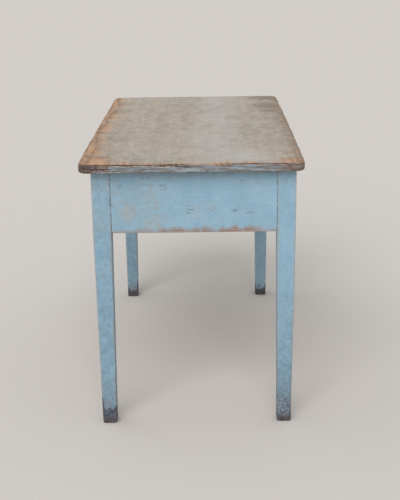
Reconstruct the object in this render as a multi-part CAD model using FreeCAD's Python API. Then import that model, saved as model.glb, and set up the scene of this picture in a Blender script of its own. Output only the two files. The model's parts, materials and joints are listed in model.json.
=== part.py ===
import FreeCAD, Part
import os

# An old painted kitchen table with two drawers in one long side, in millimetres.
# X runs along the table, Y across it and Z up from the floor under the middle of the top.
# The drawers open towards -Y, and left and right are as seen by a person who stands before them.

# Whole table
TABLE_HEIGHT = 760.0
TOP_LENGTH = 1200.0
TOP_WIDTH = 600.0
TOP_THICKNESS = 27.0
END_OVERHANG = 34.0
SIDE_OVERHANG = 28.0

# Planked top
FRONT_PLANK_WIDTH = 205.0
BACK_PLANK_WIDTH = 190.0
TOP_CORNER_RADIUS = 16.0
UPPER_EDGE_ROUND = 8.0
LOWER_EDGE_ROUND = 5.0
DOWEL_RADIUS = 5.0
DOWEL_LENGTH = 60.0
DOWEL_END_MARGIN = 120.0
DOWELS_PER_JOINT = 5

# Legs, square beside the aprons and tapered on all four faces below them
LEG_SIZE = 50.0
FOOT_SIZE = 39.0
LEG_ARRIS = 2.5
FOOT_ARRIS = 3.0

# Aprons
APRON_DEPTH = 171.0
APRON_THICKNESS = 24.0
APRON_SETBACK = 2.0

# Mortise and tenon joints in the legs, with their pegs
TENON_THICKNESS = 8.0
TENON_LOWER_SHOULDER = 10.0
TENON_SEPARATION = 3.0
MORTISE_GAP = 1.5
PEG_RADIUS = 3.5
PEG_TAIL = 8.0
END_PEG_SHARES = (0.2, 0.7)
BACK_PEG_SHARES = (0.35, 0.85)
RAIL_PEG_SHARES = (0.5,)

# Rails and divider around the drawer openings
UPPER_RAIL_HEIGHT = 22.0
LOWER_RAIL_HEIGHT = 28.0
RAIL_INSET = 3.0
RAIL_TENON_SHOULDER = 5.0
RAIL_DOVETAIL_LENGTH = 26.0
RAIL_DOVETAIL_ROOT = 20.0
RAIL_DOVETAIL_TIP = 28.0
DIVIDER_WIDTH = 30.0
DIVIDER_THICKNESS = 24.0

# Bearers from front to back: runners under the drawers and kickers over them, with stub tenons
BEARING_WIDTH = 18.0
RUNNER_THICKNESS = 22.0
STUB_THICKNESS = 8.0
STUB_LENGTH = 8.0
STUB_SHOULDER = 3.0
GUIDE_HEIGHT = 26.0

# Blocks glued under the top and behind the drawer fronts
GLUE_BLOCK_SIZE = 20.0
GLUE_BLOCK_LENGTH = 80.0
GLUE_BLOCK_SHARES = (0.25, 0.75)
STOP_WIDTH = 40.0
STOP_THICKNESS = 12.0
STOP_CLEARANCE = 3.0
STOP_SHARES = (0.2, 0.8)

# Drawers
DRAWER_GAP = 1.5
RUN_CLEARANCE = 0.3
REAR_CLEARANCE = 18.0
FRONT_THICKNESS = 22.0
SIDE_THICKNESS = 12.0
SIDE_DROP = 4.0
BACK_THICKNESS = 12.0
BACK_DROP = 8.0
BOTTOM_THICKNESS = 8.0
GROOVE_DEPTH = 5.0
GROOVE_RISE = 9.0
PANEL_PLAY = 0.5
FRONT_LAP = 6.0
TAILS_PER_CORNER = 3
TAIL_ROOT_SHARE = 0.48
TAIL_TIP_SHARE = 0.68

# Turned knobs, each with a spigot through its drawer front and a wedge in the spigot
KNOB_PROJECTION = 26.0
KNOB_RADIUS = 16.0
KNOB_WIDEST_OUT = 16.0
KNOB_RIM = 2.5
KNOB_NECK_RADIUS = 8.0
KNOB_NECK_OUT = 7.0
KNOB_BASE_RADIUS = 10.0
KNOB_BASE_HEIGHT = 2.5
SPIGOT_RADIUS = 6.0
WEDGE_LENGTH = 14.0
WEDGE_THICKNESS = 2.4
WEDGE_TIP = 0.6

# Nails and screws
NAIL_RADIUS = 1.3
NAIL_HEAD_RADIUS = 3.0
NAIL_HEAD_THICKNESS = 1.2
NAIL_BITE = 14.0
NAIL_SHARES = (0.15, 0.5, 0.85)
SCREW_RADIUS = 2.4
SCREW_HEAD_RADIUS = 5.0
SCREW_HEAD_DEPTH = 3.0
SCREW_SLOT_WIDTH = 1.2
SCREW_SLOT_DEPTH = 1.0
SCREW_BITE = 16.0

# Room round every peg, nail, screw and spigot
FIT_CLEARANCE = 0.1

# Places that follow from the sizes above
TOP_UNDERSIDE = TABLE_HEIGHT - TOP_THICKNESS
APRON_BOTTOM = TOP_UNDERSIDE - APRON_DEPTH
LEG_OUTER_X = TOP_LENGTH / 2 - END_OVERHANG
LEG_OUTER_Y = TOP_WIDTH / 2 - SIDE_OVERHANG
LEG_INNER_X = LEG_OUTER_X - LEG_SIZE
LEG_INNER_Y = LEG_OUTER_Y - LEG_SIZE
APRON_OUTER_X = LEG_OUTER_X - APRON_SETBACK
APRON_OUTER_Y = LEG_OUTER_Y - APRON_SETBACK
APRON_INNER_X = APRON_OUTER_X - APRON_THICKNESS
APRON_INNER_Y = APRON_OUTER_Y - APRON_THICKNESS
FRONT_JOINT_Y = FRONT_PLANK_WIDTH - TOP_WIDTH / 2
BACK_JOINT_Y = TOP_WIDTH / 2 - BACK_PLANK_WIDTH
OPENING_TOP = TOP_UNDERSIDE - UPPER_RAIL_HEIGHT
RUNNER_TOP = APRON_BOTTOM + LOWER_RAIL_HEIGHT
RAIL_BACK_Y = -LEG_INNER_Y - RAIL_INSET
TENON_LINE_X = APRON_OUTER_X - APRON_THICKNESS / 2
TENON_LINE_Y = APRON_OUTER_Y - APRON_THICKNESS / 2
TENON_REACH = APRON_SETBACK + (APRON_THICKNESS + TENON_THICKNESS) / 2
TENON_LENGTH = LEG_SIZE - TENON_REACH - TENON_SEPARATION - MORTISE_GAP
PEG_LENGTH = TENON_REACH + PEG_TAIL
APRON_TENON_Z = (APRON_BOTTOM + TENON_LOWER_SHOULDER, OPENING_TOP - TENON_SEPARATION)
RAIL_TENON_Z = (APRON_BOTTOM + RAIL_TENON_SHOULDER, RUNNER_TOP - RAIL_TENON_SHOULDER)
APRON_Z = (APRON_BOTTOM, TOP_UNDERSIDE)
UPPER_RAIL_Z = (OPENING_TOP, TOP_UNDERSIDE)
LOWER_RAIL_Z = (APRON_BOTTOM, RUNNER_TOP)
RUNNER_Z = (RUNNER_TOP - RUNNER_THICKNESS, RUNNER_TOP)
GUIDE_Z = (RUNNER_TOP, RUNNER_TOP + GUIDE_HEIGHT)
RAIL_Y = (-APRON_OUTER_Y, RAIL_BACK_Y)
DIVIDER_BACK_Y = DIVIDER_THICKNESS - APRON_OUTER_Y
BETWEEN_LEGS_Y = (max(-LEG_INNER_Y, RAIL_BACK_Y), min(LEG_INNER_Y, APRON_INNER_Y))
FACE_Y = -APRON_OUTER_Y
FRONT_BACK_Y = FACE_Y + FRONT_THICKNESS
REAR_Y = APRON_INNER_Y - REAR_CLEARANCE
BACK_FACE_Y = REAR_Y - BACK_THICKNESS
FRONT_Z = (RUNNER_TOP + DRAWER_GAP, OPENING_TOP - DRAWER_GAP)
SIDE_Z = (RUNNER_TOP + RUN_CLEARANCE, OPENING_TOP - DRAWER_GAP - SIDE_DROP)
PANEL_Z = (SIDE_Z[0] + GROOVE_RISE, SIDE_Z[0] + GROOVE_RISE + BOTTOM_THICKNESS)
BACK_Z = (PANEL_Z[1], SIDE_Z[1] - BACK_DROP)

ENDS = {"left": -1, "right": 1}
LONG_SIDES = {"front": -1, "back": 1}


def vec(x, y, z):
    return FreeCAD.Vector(x, y, z)


def block(x_range, y_range, z_range):
    """A box between the ends of three ranges, which may be given either way round."""
    low = vec(min(x_range), min(y_range), min(z_range))
    size = vec(max(x_range), max(y_range), max(z_range)) - low
    return Part.makeBox(size.x, size.y, size.z, low)


def around(middle, width):
    return (middle - width / 2, middle + width / 2)


def mirrored(side, near, far):
    return (side * near, side * far)


def widened(pair, amount):
    return (min(pair) - amount, max(pair) + amount)


def share_places(pair, shares):
    """Places in a range, one for each share of it."""
    return [min(pair) + share * (max(pair) - min(pair)) for share in shares]


def polygon_face(points):
    return Part.Face(Part.makePolygon(points + points[:1]))


def prism(points, direction):
    return polygon_face(points).extrude(direction)


def flat_sided(sections):
    """A solid with flat faces between outlines that lie one above the other, lowest first."""
    count = len(sections[0])
    faces = [polygon_face(sections[0]), polygon_face(sections[-1])]
    for lower, upper in zip(sections, sections[1:]):
        for corner in range(count):
            after = (corner + 1) % count
            faces.append(polygon_face([lower[corner], lower[after], upper[after], upper[corner]]))
    solid = Part.Solid(Part.Shell(faces))
    if solid.Volume < 0:
        solid.reverse()
    return solid


def one_solid(shape):
    """The shape without the seams that joining boxes leaves on flat faces."""
    return shape.removeSplitter()


# Fasteners, each also made with a clearance to cut its own hole

def nail(head, direction, length, clearance=0.0):
    shank = Part.makeCylinder(NAIL_RADIUS + clearance, length + clearance, head, direction)
    cap = Part.makeCylinder(NAIL_HEAD_RADIUS + clearance, NAIL_HEAD_THICKNESS + clearance, head, direction)
    return shank.fuse(cap)


def screw(head, clearance=0.0):
    """A countersunk screw that points up from the underside of a kicker."""
    up = vec(0, 0, 1)
    length = UPPER_RAIL_HEIGHT + SCREW_BITE + clearance
    shank = Part.makeCylinder(SCREW_RADIUS + clearance, length, head, up)
    cone = Part.makeCone(SCREW_HEAD_RADIUS + clearance, SCREW_RADIUS + clearance, SCREW_HEAD_DEPTH, head, up)
    return shank.fuse(cone)


def slotted_screw(head):
    slot = block(
        around(head.x, SCREW_SLOT_WIDTH),
        around(head.y, 2 * SCREW_HEAD_RADIUS),
        (head.z, head.z + SCREW_SLOT_DEPTH),
    )
    return screw(head).cut(slot)


# Top

def whole_top():
    """The top in one piece, with round corners and worn-round edges."""
    board = block(around(0, TOP_LENGTH), around(0, TOP_WIDTH), (TOP_UNDERSIDE, TABLE_HEIGHT))
    corners = [edge for edge in board.Edges if edge.Vertexes[0].Z != edge.Vertexes[1].Z]
    board = board.makeFillet(TOP_CORNER_RADIUS, corners)
    board = board.makeFillet(UPPER_EDGE_ROUND, edges_at_height(board, TABLE_HEIGHT))
    return board.makeFillet(LOWER_EDGE_ROUND, edges_at_height(board, TOP_UNDERSIDE))


def edges_at_height(shape, height):
    level = [edge for edge in shape.Edges if edge.BoundBox.ZLength < FIT_CLEARANCE]
    return [edge for edge in level if abs(edge.CenterOfMass.z - height) < FIT_CLEARANCE]


def edge_dowels(clearance=0.0, end_gap=0.0):
    """Dowels along the two joints between the planks."""
    first = DOWEL_END_MARGIN - TOP_LENGTH / 2
    pitch = (TOP_LENGTH - 2 * DOWEL_END_MARGIN) / (DOWELS_PER_JOINT - 1)
    length = DOWEL_LENGTH + 2 * end_gap
    height = TOP_UNDERSIDE + TOP_THICKNESS / 2
    dowels = []
    for joint_y in (FRONT_JOINT_Y, BACK_JOINT_Y):
        for number in range(DOWELS_PER_JOINT):
            start = vec(first + number * pitch, joint_y - length / 2, height)
            dowels.append(Part.makeCylinder(DOWEL_RADIUS + clearance, length, start, vec(0, 1, 0)))
    return dowels


def kicker_screw_heads():
    """Where the screws enter the kickers: one for each plank along each of the three kickers."""
    side_x = (LEG_INNER_X - BEARING_WIDTH + APRON_INNER_X) / 2
    plank_ranges = (
        (BETWEEN_LEGS_Y[0], FRONT_JOINT_Y),
        (FRONT_JOINT_Y, BACK_JOINT_Y),
        (BACK_JOINT_Y, BETWEEN_LEGS_Y[1]),
    )
    heads = []
    for x in (-side_x, 0, side_x):
        heads += [vec(x, sum(plank) / 2, OPENING_TOP) for plank in plank_ranges]
    return heads


def screw_holes():
    return [screw(head, FIT_CLEARANCE) for head in kicker_screw_heads()]


def planks():
    board = whole_top()
    holes = edge_dowels(FIT_CLEARANCE, MORTISE_GAP) + screw_holes()
    strips = {
        "front": (-TOP_WIDTH / 2, FRONT_JOINT_Y),
        "middle": (FRONT_JOINT_Y, BACK_JOINT_Y),
        "back": (BACK_JOINT_Y, TOP_WIDTH / 2),
    }
    pieces = {}
    for name, y_range in strips.items():
        strip = block(around(0, TOP_LENGTH), y_range, (TOP_UNDERSIDE, TABLE_HEIGHT))
        pieces[f"top_plank_{name}"] = board.common(strip).cut(holes)
    return pieces


# Joints between the legs and the boards between them

def end_tenon(end, side, lengthened=0.0):
    """The tenon of an end apron in one leg."""
    return block(
        around(end * TENON_LINE_X, TENON_THICKNESS),
        mirrored(side, LEG_INNER_Y, LEG_INNER_Y + TENON_LENGTH + lengthened),
        APRON_TENON_Z,
    )


def long_tenon(end, side, z_range, lengthened=0.0):
    """The tenon of the back apron or of the lower rail in one leg."""
    return block(
        mirrored(end, LEG_INNER_X, LEG_INNER_X + TENON_LENGTH + lengthened),
        around(side * TENON_LINE_Y, TENON_THICKNESS),
        z_range,
    )


def rail_dovetail(end):
    """The dovetail at one end of the upper rail, let into the head of a front leg."""
    middle = LEG_SIZE / 2 - LEG_OUTER_Y
    root_x = end * LEG_INNER_X
    tip_x = end * (LEG_INNER_X + RAIL_DOVETAIL_LENGTH)
    outline = [
        vec(root_x, middle - RAIL_DOVETAIL_ROOT / 2, OPENING_TOP),
        vec(tip_x, middle - RAIL_DOVETAIL_TIP / 2, OPENING_TOP),
        vec(tip_x, middle + RAIL_DOVETAIL_TIP / 2, OPENING_TOP),
        vec(root_x, middle + RAIL_DOVETAIL_ROOT / 2, OPENING_TOP),
    ]
    return prism(outline, vec(0, 0, UPPER_RAIL_HEIGHT))


def joint_pegs(clearance=0.0):
    """Pegs driven into the legs from outside, through the tenons."""
    radius = PEG_RADIUS + clearance
    length = PEG_LENGTH + clearance
    pegs = []
    for end in ENDS.values():
        for side in LONG_SIDES.values():
            y = side * (LEG_INNER_Y + TENON_LENGTH / 2)
            for z in share_places(APRON_TENON_Z, END_PEG_SHARES):
                pegs.append(Part.makeCylinder(radius, length, vec(end * LEG_OUTER_X, y, z), vec(-end, 0, 0)))
            x = end * (LEG_INNER_X + TENON_LENGTH / 2)
            for z in long_peg_heights(side):
                pegs.append(Part.makeCylinder(radius, length, vec(x, side * LEG_OUTER_Y, z), vec(0, -side, 0)))
    return pegs


def long_peg_heights(side):
    if side == LONG_SIDES["back"]:
        return share_places(APRON_TENON_Z, BACK_PEG_SHARES)
    return share_places(RAIL_TENON_Z, RAIL_PEG_SHARES)


# Legs and aprons

def leg_outline(end, side, size, height):
    """A square with cut corners, centred on one leg."""
    x = end * (LEG_OUTER_X - LEG_SIZE / 2)
    y = side * (LEG_OUTER_Y - LEG_SIZE / 2)
    far = size / 2
    near = far - LEG_ARRIS
    corners = [(far, near), (near, far), (-near, far), (-far, near)]
    corners += [(-a, -b) for a, b in corners]
    return [vec(x + a, y + b, height) for a, b in corners]


def leg(end, side):
    blank = flat_sided([
        leg_outline(end, side, FOOT_SIZE - 2 * FOOT_ARRIS, 0),
        leg_outline(end, side, FOOT_SIZE, FOOT_ARRIS),
        leg_outline(end, side, LEG_SIZE, APRON_BOTTOM),
        leg_outline(end, side, LEG_SIZE, TOP_UNDERSIDE),
    ])
    cuts = joint_pegs(FIT_CLEARANCE) + [end_tenon(end, side, MORTISE_GAP)]
    if side == LONG_SIDES["back"]:
        cuts += [long_tenon(end, side, APRON_TENON_Z, MORTISE_GAP)]
    else:
        cuts += [long_tenon(end, side, RAIL_TENON_Z, MORTISE_GAP), rail_dovetail(end)]
    return blank.cut(cuts)


def end_apron(end):
    board = block(mirrored(end, APRON_INNER_X, APRON_OUTER_X), around(0, 2 * LEG_INNER_Y), APRON_Z)
    board = board.fuse([end_tenon(end, side) for side in LONG_SIDES.values()])
    return one_solid(board).cut(joint_pegs(FIT_CLEARANCE) + guide_nails(FIT_CLEARANCE))


def back_apron():
    side = LONG_SIDES["back"]
    board = block(around(0, 2 * LEG_INNER_X), (APRON_INNER_Y, APRON_OUTER_Y), APRON_Z)
    board = board.fuse([long_tenon(end, side, APRON_TENON_Z) for end in ENDS.values()])
    return one_solid(board).cut(joint_pegs(FIT_CLEARANCE) + bearer_mortises())


# Rails and divider on the drawer side

def divider_stubs(lengthened=0.0):
    return block(
        around(0, DIVIDER_WIDTH - 2 * STUB_SHOULDER),
        around((FACE_Y + DIVIDER_BACK_Y) / 2, STUB_THICKNESS),
        widened((RUNNER_TOP, OPENING_TOP), STUB_LENGTH + lengthened),
    )


def drawer_divider():
    post = block(around(0, DIVIDER_WIDTH), (FACE_Y, DIVIDER_BACK_Y), (RUNNER_TOP, OPENING_TOP))
    return one_solid(post.fuse(divider_stubs()))


def front_upper_rail():
    rail = block(around(0, 2 * LEG_INNER_X), RAIL_Y, UPPER_RAIL_Z)
    rail = rail.fuse([rail_dovetail(end) for end in ENDS.values()])
    return one_solid(rail).cut([divider_stubs(MORTISE_GAP)] + bearer_mortises())


def front_lower_rail():
    side = LONG_SIDES["front"]
    rail = block(around(0, 2 * LEG_INNER_X), RAIL_Y, LOWER_RAIL_Z)
    rail = rail.fuse([long_tenon(end, side, RAIL_TENON_Z) for end in ENDS.values()])
    return one_solid(rail).cut([divider_stubs(MORTISE_GAP)] + bearer_mortises() + joint_pegs(FIT_CLEARANCE))


# Runners, guides and kickers

def bearing_range(end):
    """The width over which one bearer lies under or over the drawer sides: end is 0 in the middle."""
    if end == 0:
        return around(0, DIVIDER_WIDTH + 2 * BEARING_WIDTH)
    return mirrored(end, LEG_INNER_X - BEARING_WIDTH, LEG_INNER_X)


def bearer_stubs(end, z_range, lengthened=0.0):
    return block(
        widened(bearing_range(end), -STUB_SHOULDER),
        widened((RAIL_BACK_Y, APRON_INNER_Y), STUB_LENGTH + lengthened),
        around(sum(z_range) / 2, STUB_THICKNESS),
    )


def bearer(end, z_range):
    """A runner or kicker from the front rail to the back apron, notched round the legs at the ends."""
    bar = block(bearing_range(end), (RAIL_BACK_Y, APRON_INNER_Y), z_range)
    joined = [bearer_stubs(end, z_range)]
    if end != 0:
        joined += [block(mirrored(end, LEG_INNER_X, APRON_INNER_X), BETWEEN_LEGS_Y, z_range)]
    return one_solid(bar.fuse(joined))


def bearer_mortises():
    mortises = []
    for z_range in (RUNNER_Z, UPPER_RAIL_Z):
        mortises += [bearer_stubs(end, z_range, MORTISE_GAP) for end in (-1, 0, 1)]
    return mortises


def guide(end):
    """A strip on a runner that keeps a drawer straight."""
    if end == 0:
        return block(around(0, DIVIDER_WIDTH), (DIVIDER_BACK_Y, APRON_INNER_Y), GUIDE_Z)
    return block(mirrored(end, LEG_INNER_X, APRON_INNER_X), BETWEEN_LEGS_Y, GUIDE_Z)


def guide_nails(clearance=0.0):
    """Nails through the end guides into the end aprons, and down through the middle guide."""
    end_length = APRON_INNER_X - LEG_INNER_X + NAIL_BITE
    nails = []
    for y in share_places(BETWEEN_LEGS_Y, NAIL_SHARES):
        for end in ENDS.values():
            head = vec(end * LEG_INNER_X, y, sum(GUIDE_Z) / 2)
            nails.append(nail(head, vec(end, 0, 0), end_length, clearance))
        nails.append(nail(vec(0, y, GUIDE_Z[1]), vec(0, 0, -1), GUIDE_HEIGHT + NAIL_BITE, clearance))
    return nails


def bearers_and_guides():
    names = {"left": -1, "centre": 0, "right": 1}
    pieces = {}
    for name, end in names.items():
        pieces[f"runner_{name}"] = bearer(end, RUNNER_Z).cut(guide_nails(FIT_CLEARANCE))
        pieces[f"guide_{name}"] = guide(end).cut(guide_nails(FIT_CLEARANCE))
        pieces[f"kicker_{name}"] = bearer(end, UPPER_RAIL_Z).cut(screw_holes())
    return pieces


# Blocks glued to the frame

def glue_blocks():
    """Three-cornered blocks rubbed into the corner of the back apron and the top."""
    bay = (max(bearing_range(0)), min(bearing_range(1)))
    blocks = []
    for end in ENDS.values():
        for place in share_places(bay, GLUE_BLOCK_SHARES):
            x = end * place - GLUE_BLOCK_LENGTH / 2
            outline = [
                vec(x, APRON_INNER_Y, TOP_UNDERSIDE),
                vec(x, APRON_INNER_Y - GLUE_BLOCK_SIZE, TOP_UNDERSIDE),
                vec(x, APRON_INNER_Y, TOP_UNDERSIDE - GLUE_BLOCK_SIZE),
            ]
            blocks.append(prism(outline, vec(GLUE_BLOCK_LENGTH, 0, 0)))
    return blocks


def drawer_stops():
    """Blocks on the lower rail that the drawer fronts come up against."""
    start_y = FRONT_BACK_Y + RUN_CLEARANCE
    stop_z = (RUNNER_TOP, PANEL_Z[0] - STOP_CLEARANCE)
    stops = []
    for end in ENDS.values():
        for x in share_places(drawer_range(end), STOP_SHARES):
            stops.append(block(around(x, STOP_WIDTH), (start_y, start_y + STOP_THICKNESS), stop_z))
    return stops


# Drawers, each given by the range that it takes up along the table

def drawer_range(end):
    return mirrored(end, DIVIDER_WIDTH / 2 + DRAWER_GAP, LEG_INNER_X - DRAWER_GAP)


def side_ranges(x_range):
    """The thickness of the left and of the right side of a drawer, as ranges."""
    low = min(x_range)
    high = max(x_range)
    return {"left": (low, low + SIDE_THICKNESS), "right": (high - SIDE_THICKNESS, high)}


def dovetails(x_range, root_y, tip_y, z_range):
    """Tails at one end of a drawer side, spread over a height and wider at the tip."""
    width = max(x_range) - min(x_range)
    pitch = (max(z_range) - min(z_range)) / TAILS_PER_CORNER
    root = pitch * TAIL_ROOT_SHARE / 2
    tip = pitch * TAIL_TIP_SHARE / 2
    tails = []
    for number in range(TAILS_PER_CORNER):
        middle = min(z_range) + (number + 0.5) * pitch
        outline = [
            vec(min(x_range), root_y, middle - root),
            vec(min(x_range), tip_y, middle - tip),
            vec(min(x_range), tip_y, middle + tip),
            vec(min(x_range), root_y, middle + root),
        ]
        tails.append(prism(outline, vec(width, 0, 0)))
    return tails


def front_tails(side_range):
    return dovetails(side_range, FRONT_BACK_Y, FACE_Y + FRONT_LAP, (FRONT_Z[0], SIDE_Z[1]))


def back_tails(side_range):
    return dovetails(side_range, BACK_FACE_Y, REAR_Y, BACK_Z)


def groove_range(x_range):
    return widened(x_range, GROOVE_DEPTH - SIDE_THICKNESS)


def drawer_front(x_range):
    board = block(x_range, (FACE_Y, FRONT_BACK_Y), FRONT_Z)
    cuts = [block(groove_range(x_range), (FRONT_BACK_Y - GROOVE_DEPTH, FRONT_BACK_Y), PANEL_Z)]
    for side_range in side_ranges(x_range).values():
        cuts += front_tails(side_range)
    return board.cut(cuts + [spigot(x_range, FIT_CLEARANCE)])


def drawer_back(x_range):
    board = block(x_range, (BACK_FACE_Y, REAR_Y), BACK_Z)
    cuts = bottom_nails(x_range, FIT_CLEARANCE)
    for side_range in side_ranges(x_range).values():
        cuts += back_tails(side_range)
    return board.cut(cuts)


def drawer_side(x_range, name):
    """A side with tails into the front and the back, and a groove for the bottom."""
    side_range = side_ranges(x_range)[name]
    board = block(side_range, (FRONT_BACK_Y, BACK_FACE_Y), SIDE_Z)
    rear = block(side_range, (BACK_FACE_Y, REAR_Y), SIDE_Z).cut(drawer_back(x_range))
    board = one_solid(board.fuse(front_tails(side_range) + [rear]))
    return board.cut(block(groove_range(x_range), (FACE_Y, REAR_Y), PANEL_Z))


def drawer_bottom(x_range):
    panel = block(
        widened(groove_range(x_range), -PANEL_PLAY),
        (FRONT_BACK_Y - GROOVE_DEPTH + PANEL_PLAY, REAR_Y),
        PANEL_Z,
    )
    return panel.cut(bottom_nails(x_range, FIT_CLEARANCE))


def bottom_nails(x_range, clearance=0.0):
    """Nails up through the bottom into the back."""
    y = (BACK_FACE_Y + REAR_Y) / 2
    length = BOTTOM_THICKNESS + NAIL_BITE
    heads = [vec(x, y, PANEL_Z[0]) for x in share_places(x_range, NAIL_SHARES)]
    return [nail(head, vec(0, 0, 1), length, clearance) for head in heads]


def spigot(x_range, clearance=0.0):
    start = vec(sum(x_range) / 2, FACE_Y, sum(FRONT_Z) / 2)
    return Part.makeCylinder(SPIGOT_RADIUS + clearance, FRONT_THICKNESS, start, vec(0, 1, 0))


def knob_wedge_blank(x_range):
    middle_x = sum(x_range) / 2
    middle_z = sum(FRONT_Z) / 2
    tip_y = FRONT_BACK_Y - WEDGE_LENGTH
    x = middle_x - SPIGOT_RADIUS
    outline = [
        vec(x, FRONT_BACK_Y, middle_z - WEDGE_THICKNESS / 2),
        vec(x, tip_y, middle_z - WEDGE_TIP / 2),
        vec(x, tip_y, middle_z + WEDGE_TIP / 2),
        vec(x, FRONT_BACK_Y, middle_z + WEDGE_THICKNESS / 2),
    ]
    return prism(outline, vec(2 * SPIGOT_RADIUS, 0, 0))


def turned_knob(x_range):
    """A turned knob: base, hollow neck, rim and domed face, with its spigot."""
    middle_x = sum(x_range) / 2
    middle_z = sum(FRONT_Z) / 2

    def at(radius, out):
        return vec(middle_x + radius, FACE_Y - out, middle_z)

    rim_out = KNOB_WIDEST_OUT + KNOB_RIM
    dome_rise = KNOB_PROJECTION - rim_out
    dome_radius = (KNOB_RADIUS ** 2 + dome_rise ** 2) / (2 * dome_rise)
    half_radius = KNOB_RADIUS / 2
    half_out = KNOB_PROJECTION - dome_radius + (dome_radius ** 2 - half_radius ** 2) ** 0.5
    corners = [at(0, 0), at(KNOB_BASE_RADIUS, 0), at(KNOB_BASE_RADIUS, KNOB_BASE_HEIGHT)]
    neck = at(KNOB_NECK_RADIUS, KNOB_NECK_OUT)
    widest = at(KNOB_RADIUS, KNOB_WIDEST_OUT)
    rim = at(KNOB_RADIUS, rim_out)
    crown = at(0, KNOB_PROJECTION)
    outline = Part.Wire([
        Part.LineSegment(corners[0], corners[1]).toShape(),
        Part.LineSegment(corners[1], corners[2]).toShape(),
        Part.Arc(corners[2], neck, widest).toShape(),
        Part.LineSegment(widest, rim).toShape(),
        Part.Arc(rim, at(half_radius, half_out), crown).toShape(),
        Part.LineSegment(crown, corners[0]).toShape(),
    ])
    head = Part.Face(outline).revolve(corners[0], vec(0, 1, 0), 360)
    return head.fuse(spigot(x_range)).cut(knob_wedge_blank(x_range))


def drawer(name, end):
    x_range = drawer_range(end)
    return {
        f"{name}_drawer_front": drawer_front(x_range),
        f"{name}_drawer_left_side": drawer_side(x_range, "left"),
        f"{name}_drawer_right_side": drawer_side(x_range, "right"),
        f"{name}_drawer_back": drawer_back(x_range),
        f"{name}_drawer_bottom": drawer_bottom(x_range),
        f"{name}_drawer_bottom_nails": Part.makeCompound(bottom_nails(x_range)),
        f"{name}_drawer_knob": turned_knob(x_range),
        f"{name}_drawer_knob_wedge": knob_wedge_blank(x_range).common(spigot(x_range)),
    }


# All pieces by name

def table():
    pieces = planks()
    pieces["top_edge_dowels"] = Part.makeCompound(edge_dowels())
    for end_name, end in ENDS.items():
        pieces[f"end_apron_{end_name}"] = end_apron(end)
        for side_name, side in LONG_SIDES.items():
            pieces[f"leg_{side_name}_{end_name}"] = leg(end, side)
    pieces["back_apron"] = back_apron()
    pieces["front_upper_rail"] = front_upper_rail()
    pieces["front_lower_rail"] = front_lower_rail()
    pieces["drawer_divider"] = drawer_divider()
    pieces["joint_pegs"] = Part.makeCompound(joint_pegs())
    pieces.update(bearers_and_guides())
    pieces["guide_nails"] = Part.makeCompound(guide_nails())
    pieces["kicker_screws"] = Part.makeCompound([slotted_screw(head) for head in kicker_screw_heads()])
    pieces["glue_blocks"] = Part.makeCompound(glue_blocks())
    pieces["drawer_stops"] = Part.makeCompound(drawer_stops())
    for name, end in ENDS.items():
        pieces.update(drawer(name, end))
    return pieces


os.makedirs("parts", exist_ok=True)
for node, shape in table().items():
    shape.exportStep(f"parts/{node}.step")
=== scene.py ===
import json
import math

import bmesh
import bpy
from mathutils import Euler, Matrix, Vector, noise


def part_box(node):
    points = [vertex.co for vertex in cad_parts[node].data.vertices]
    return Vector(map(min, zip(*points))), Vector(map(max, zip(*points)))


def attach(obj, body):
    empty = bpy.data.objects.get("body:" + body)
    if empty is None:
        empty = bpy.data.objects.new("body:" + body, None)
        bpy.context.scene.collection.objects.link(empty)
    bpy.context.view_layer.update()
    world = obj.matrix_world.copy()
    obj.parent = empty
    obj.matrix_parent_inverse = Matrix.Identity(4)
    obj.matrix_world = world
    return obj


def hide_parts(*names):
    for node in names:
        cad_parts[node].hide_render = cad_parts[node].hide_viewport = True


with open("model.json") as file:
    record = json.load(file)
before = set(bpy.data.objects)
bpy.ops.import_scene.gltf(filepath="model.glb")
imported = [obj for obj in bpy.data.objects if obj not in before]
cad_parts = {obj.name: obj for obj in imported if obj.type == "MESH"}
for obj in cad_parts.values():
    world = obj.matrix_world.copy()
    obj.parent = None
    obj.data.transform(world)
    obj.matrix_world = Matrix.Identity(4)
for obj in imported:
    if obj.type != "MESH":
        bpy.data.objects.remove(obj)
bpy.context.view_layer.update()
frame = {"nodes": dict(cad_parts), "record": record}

# An old kitchen table, in metres: a scrubbed plank top on a worn light blue base with two drawers.
# X runs along the table, Y across it and Z up. The drawers open towards -Y.
# The near end is at +X, and left and right on the top are as seen from there.

BODY_OF = {node: body for body, nodes in frame["record"]["behaviour"]["bodies"].items() for node in nodes}


def reach(*nodes):
    """The lowest and the highest corner of several nodes together."""
    corners = [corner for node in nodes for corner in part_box(node)]
    low = Vector([min(corner[axis] for corner in corners) for axis in range(3)])
    high = Vector([max(corner[axis] for corner in corners) for axis in range(3)])
    return low, high


# Places taken from the frame
PLANKS = ("top_plank_front", "top_plank_middle", "top_plank_back")
LEGS = ("leg_front_left", "leg_front_right", "leg_back_left", "leg_back_right")
DRAWERS = ("left_drawer", "right_drawer")
TOP_LOW, TOP_HIGH = reach(*PLANKS)
BASE_HIGH = reach(*LEGS)[1]
LEG_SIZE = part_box("leg_front_right")[1].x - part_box("leg_front_right")[0].x
LEG_INNER_X = BASE_HIGH.x - LEG_SIZE
LEG_INNER_Y = BASE_HIGH.y - LEG_SIZE
APRON_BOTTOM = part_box("end_apron_right")[0].z

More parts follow.
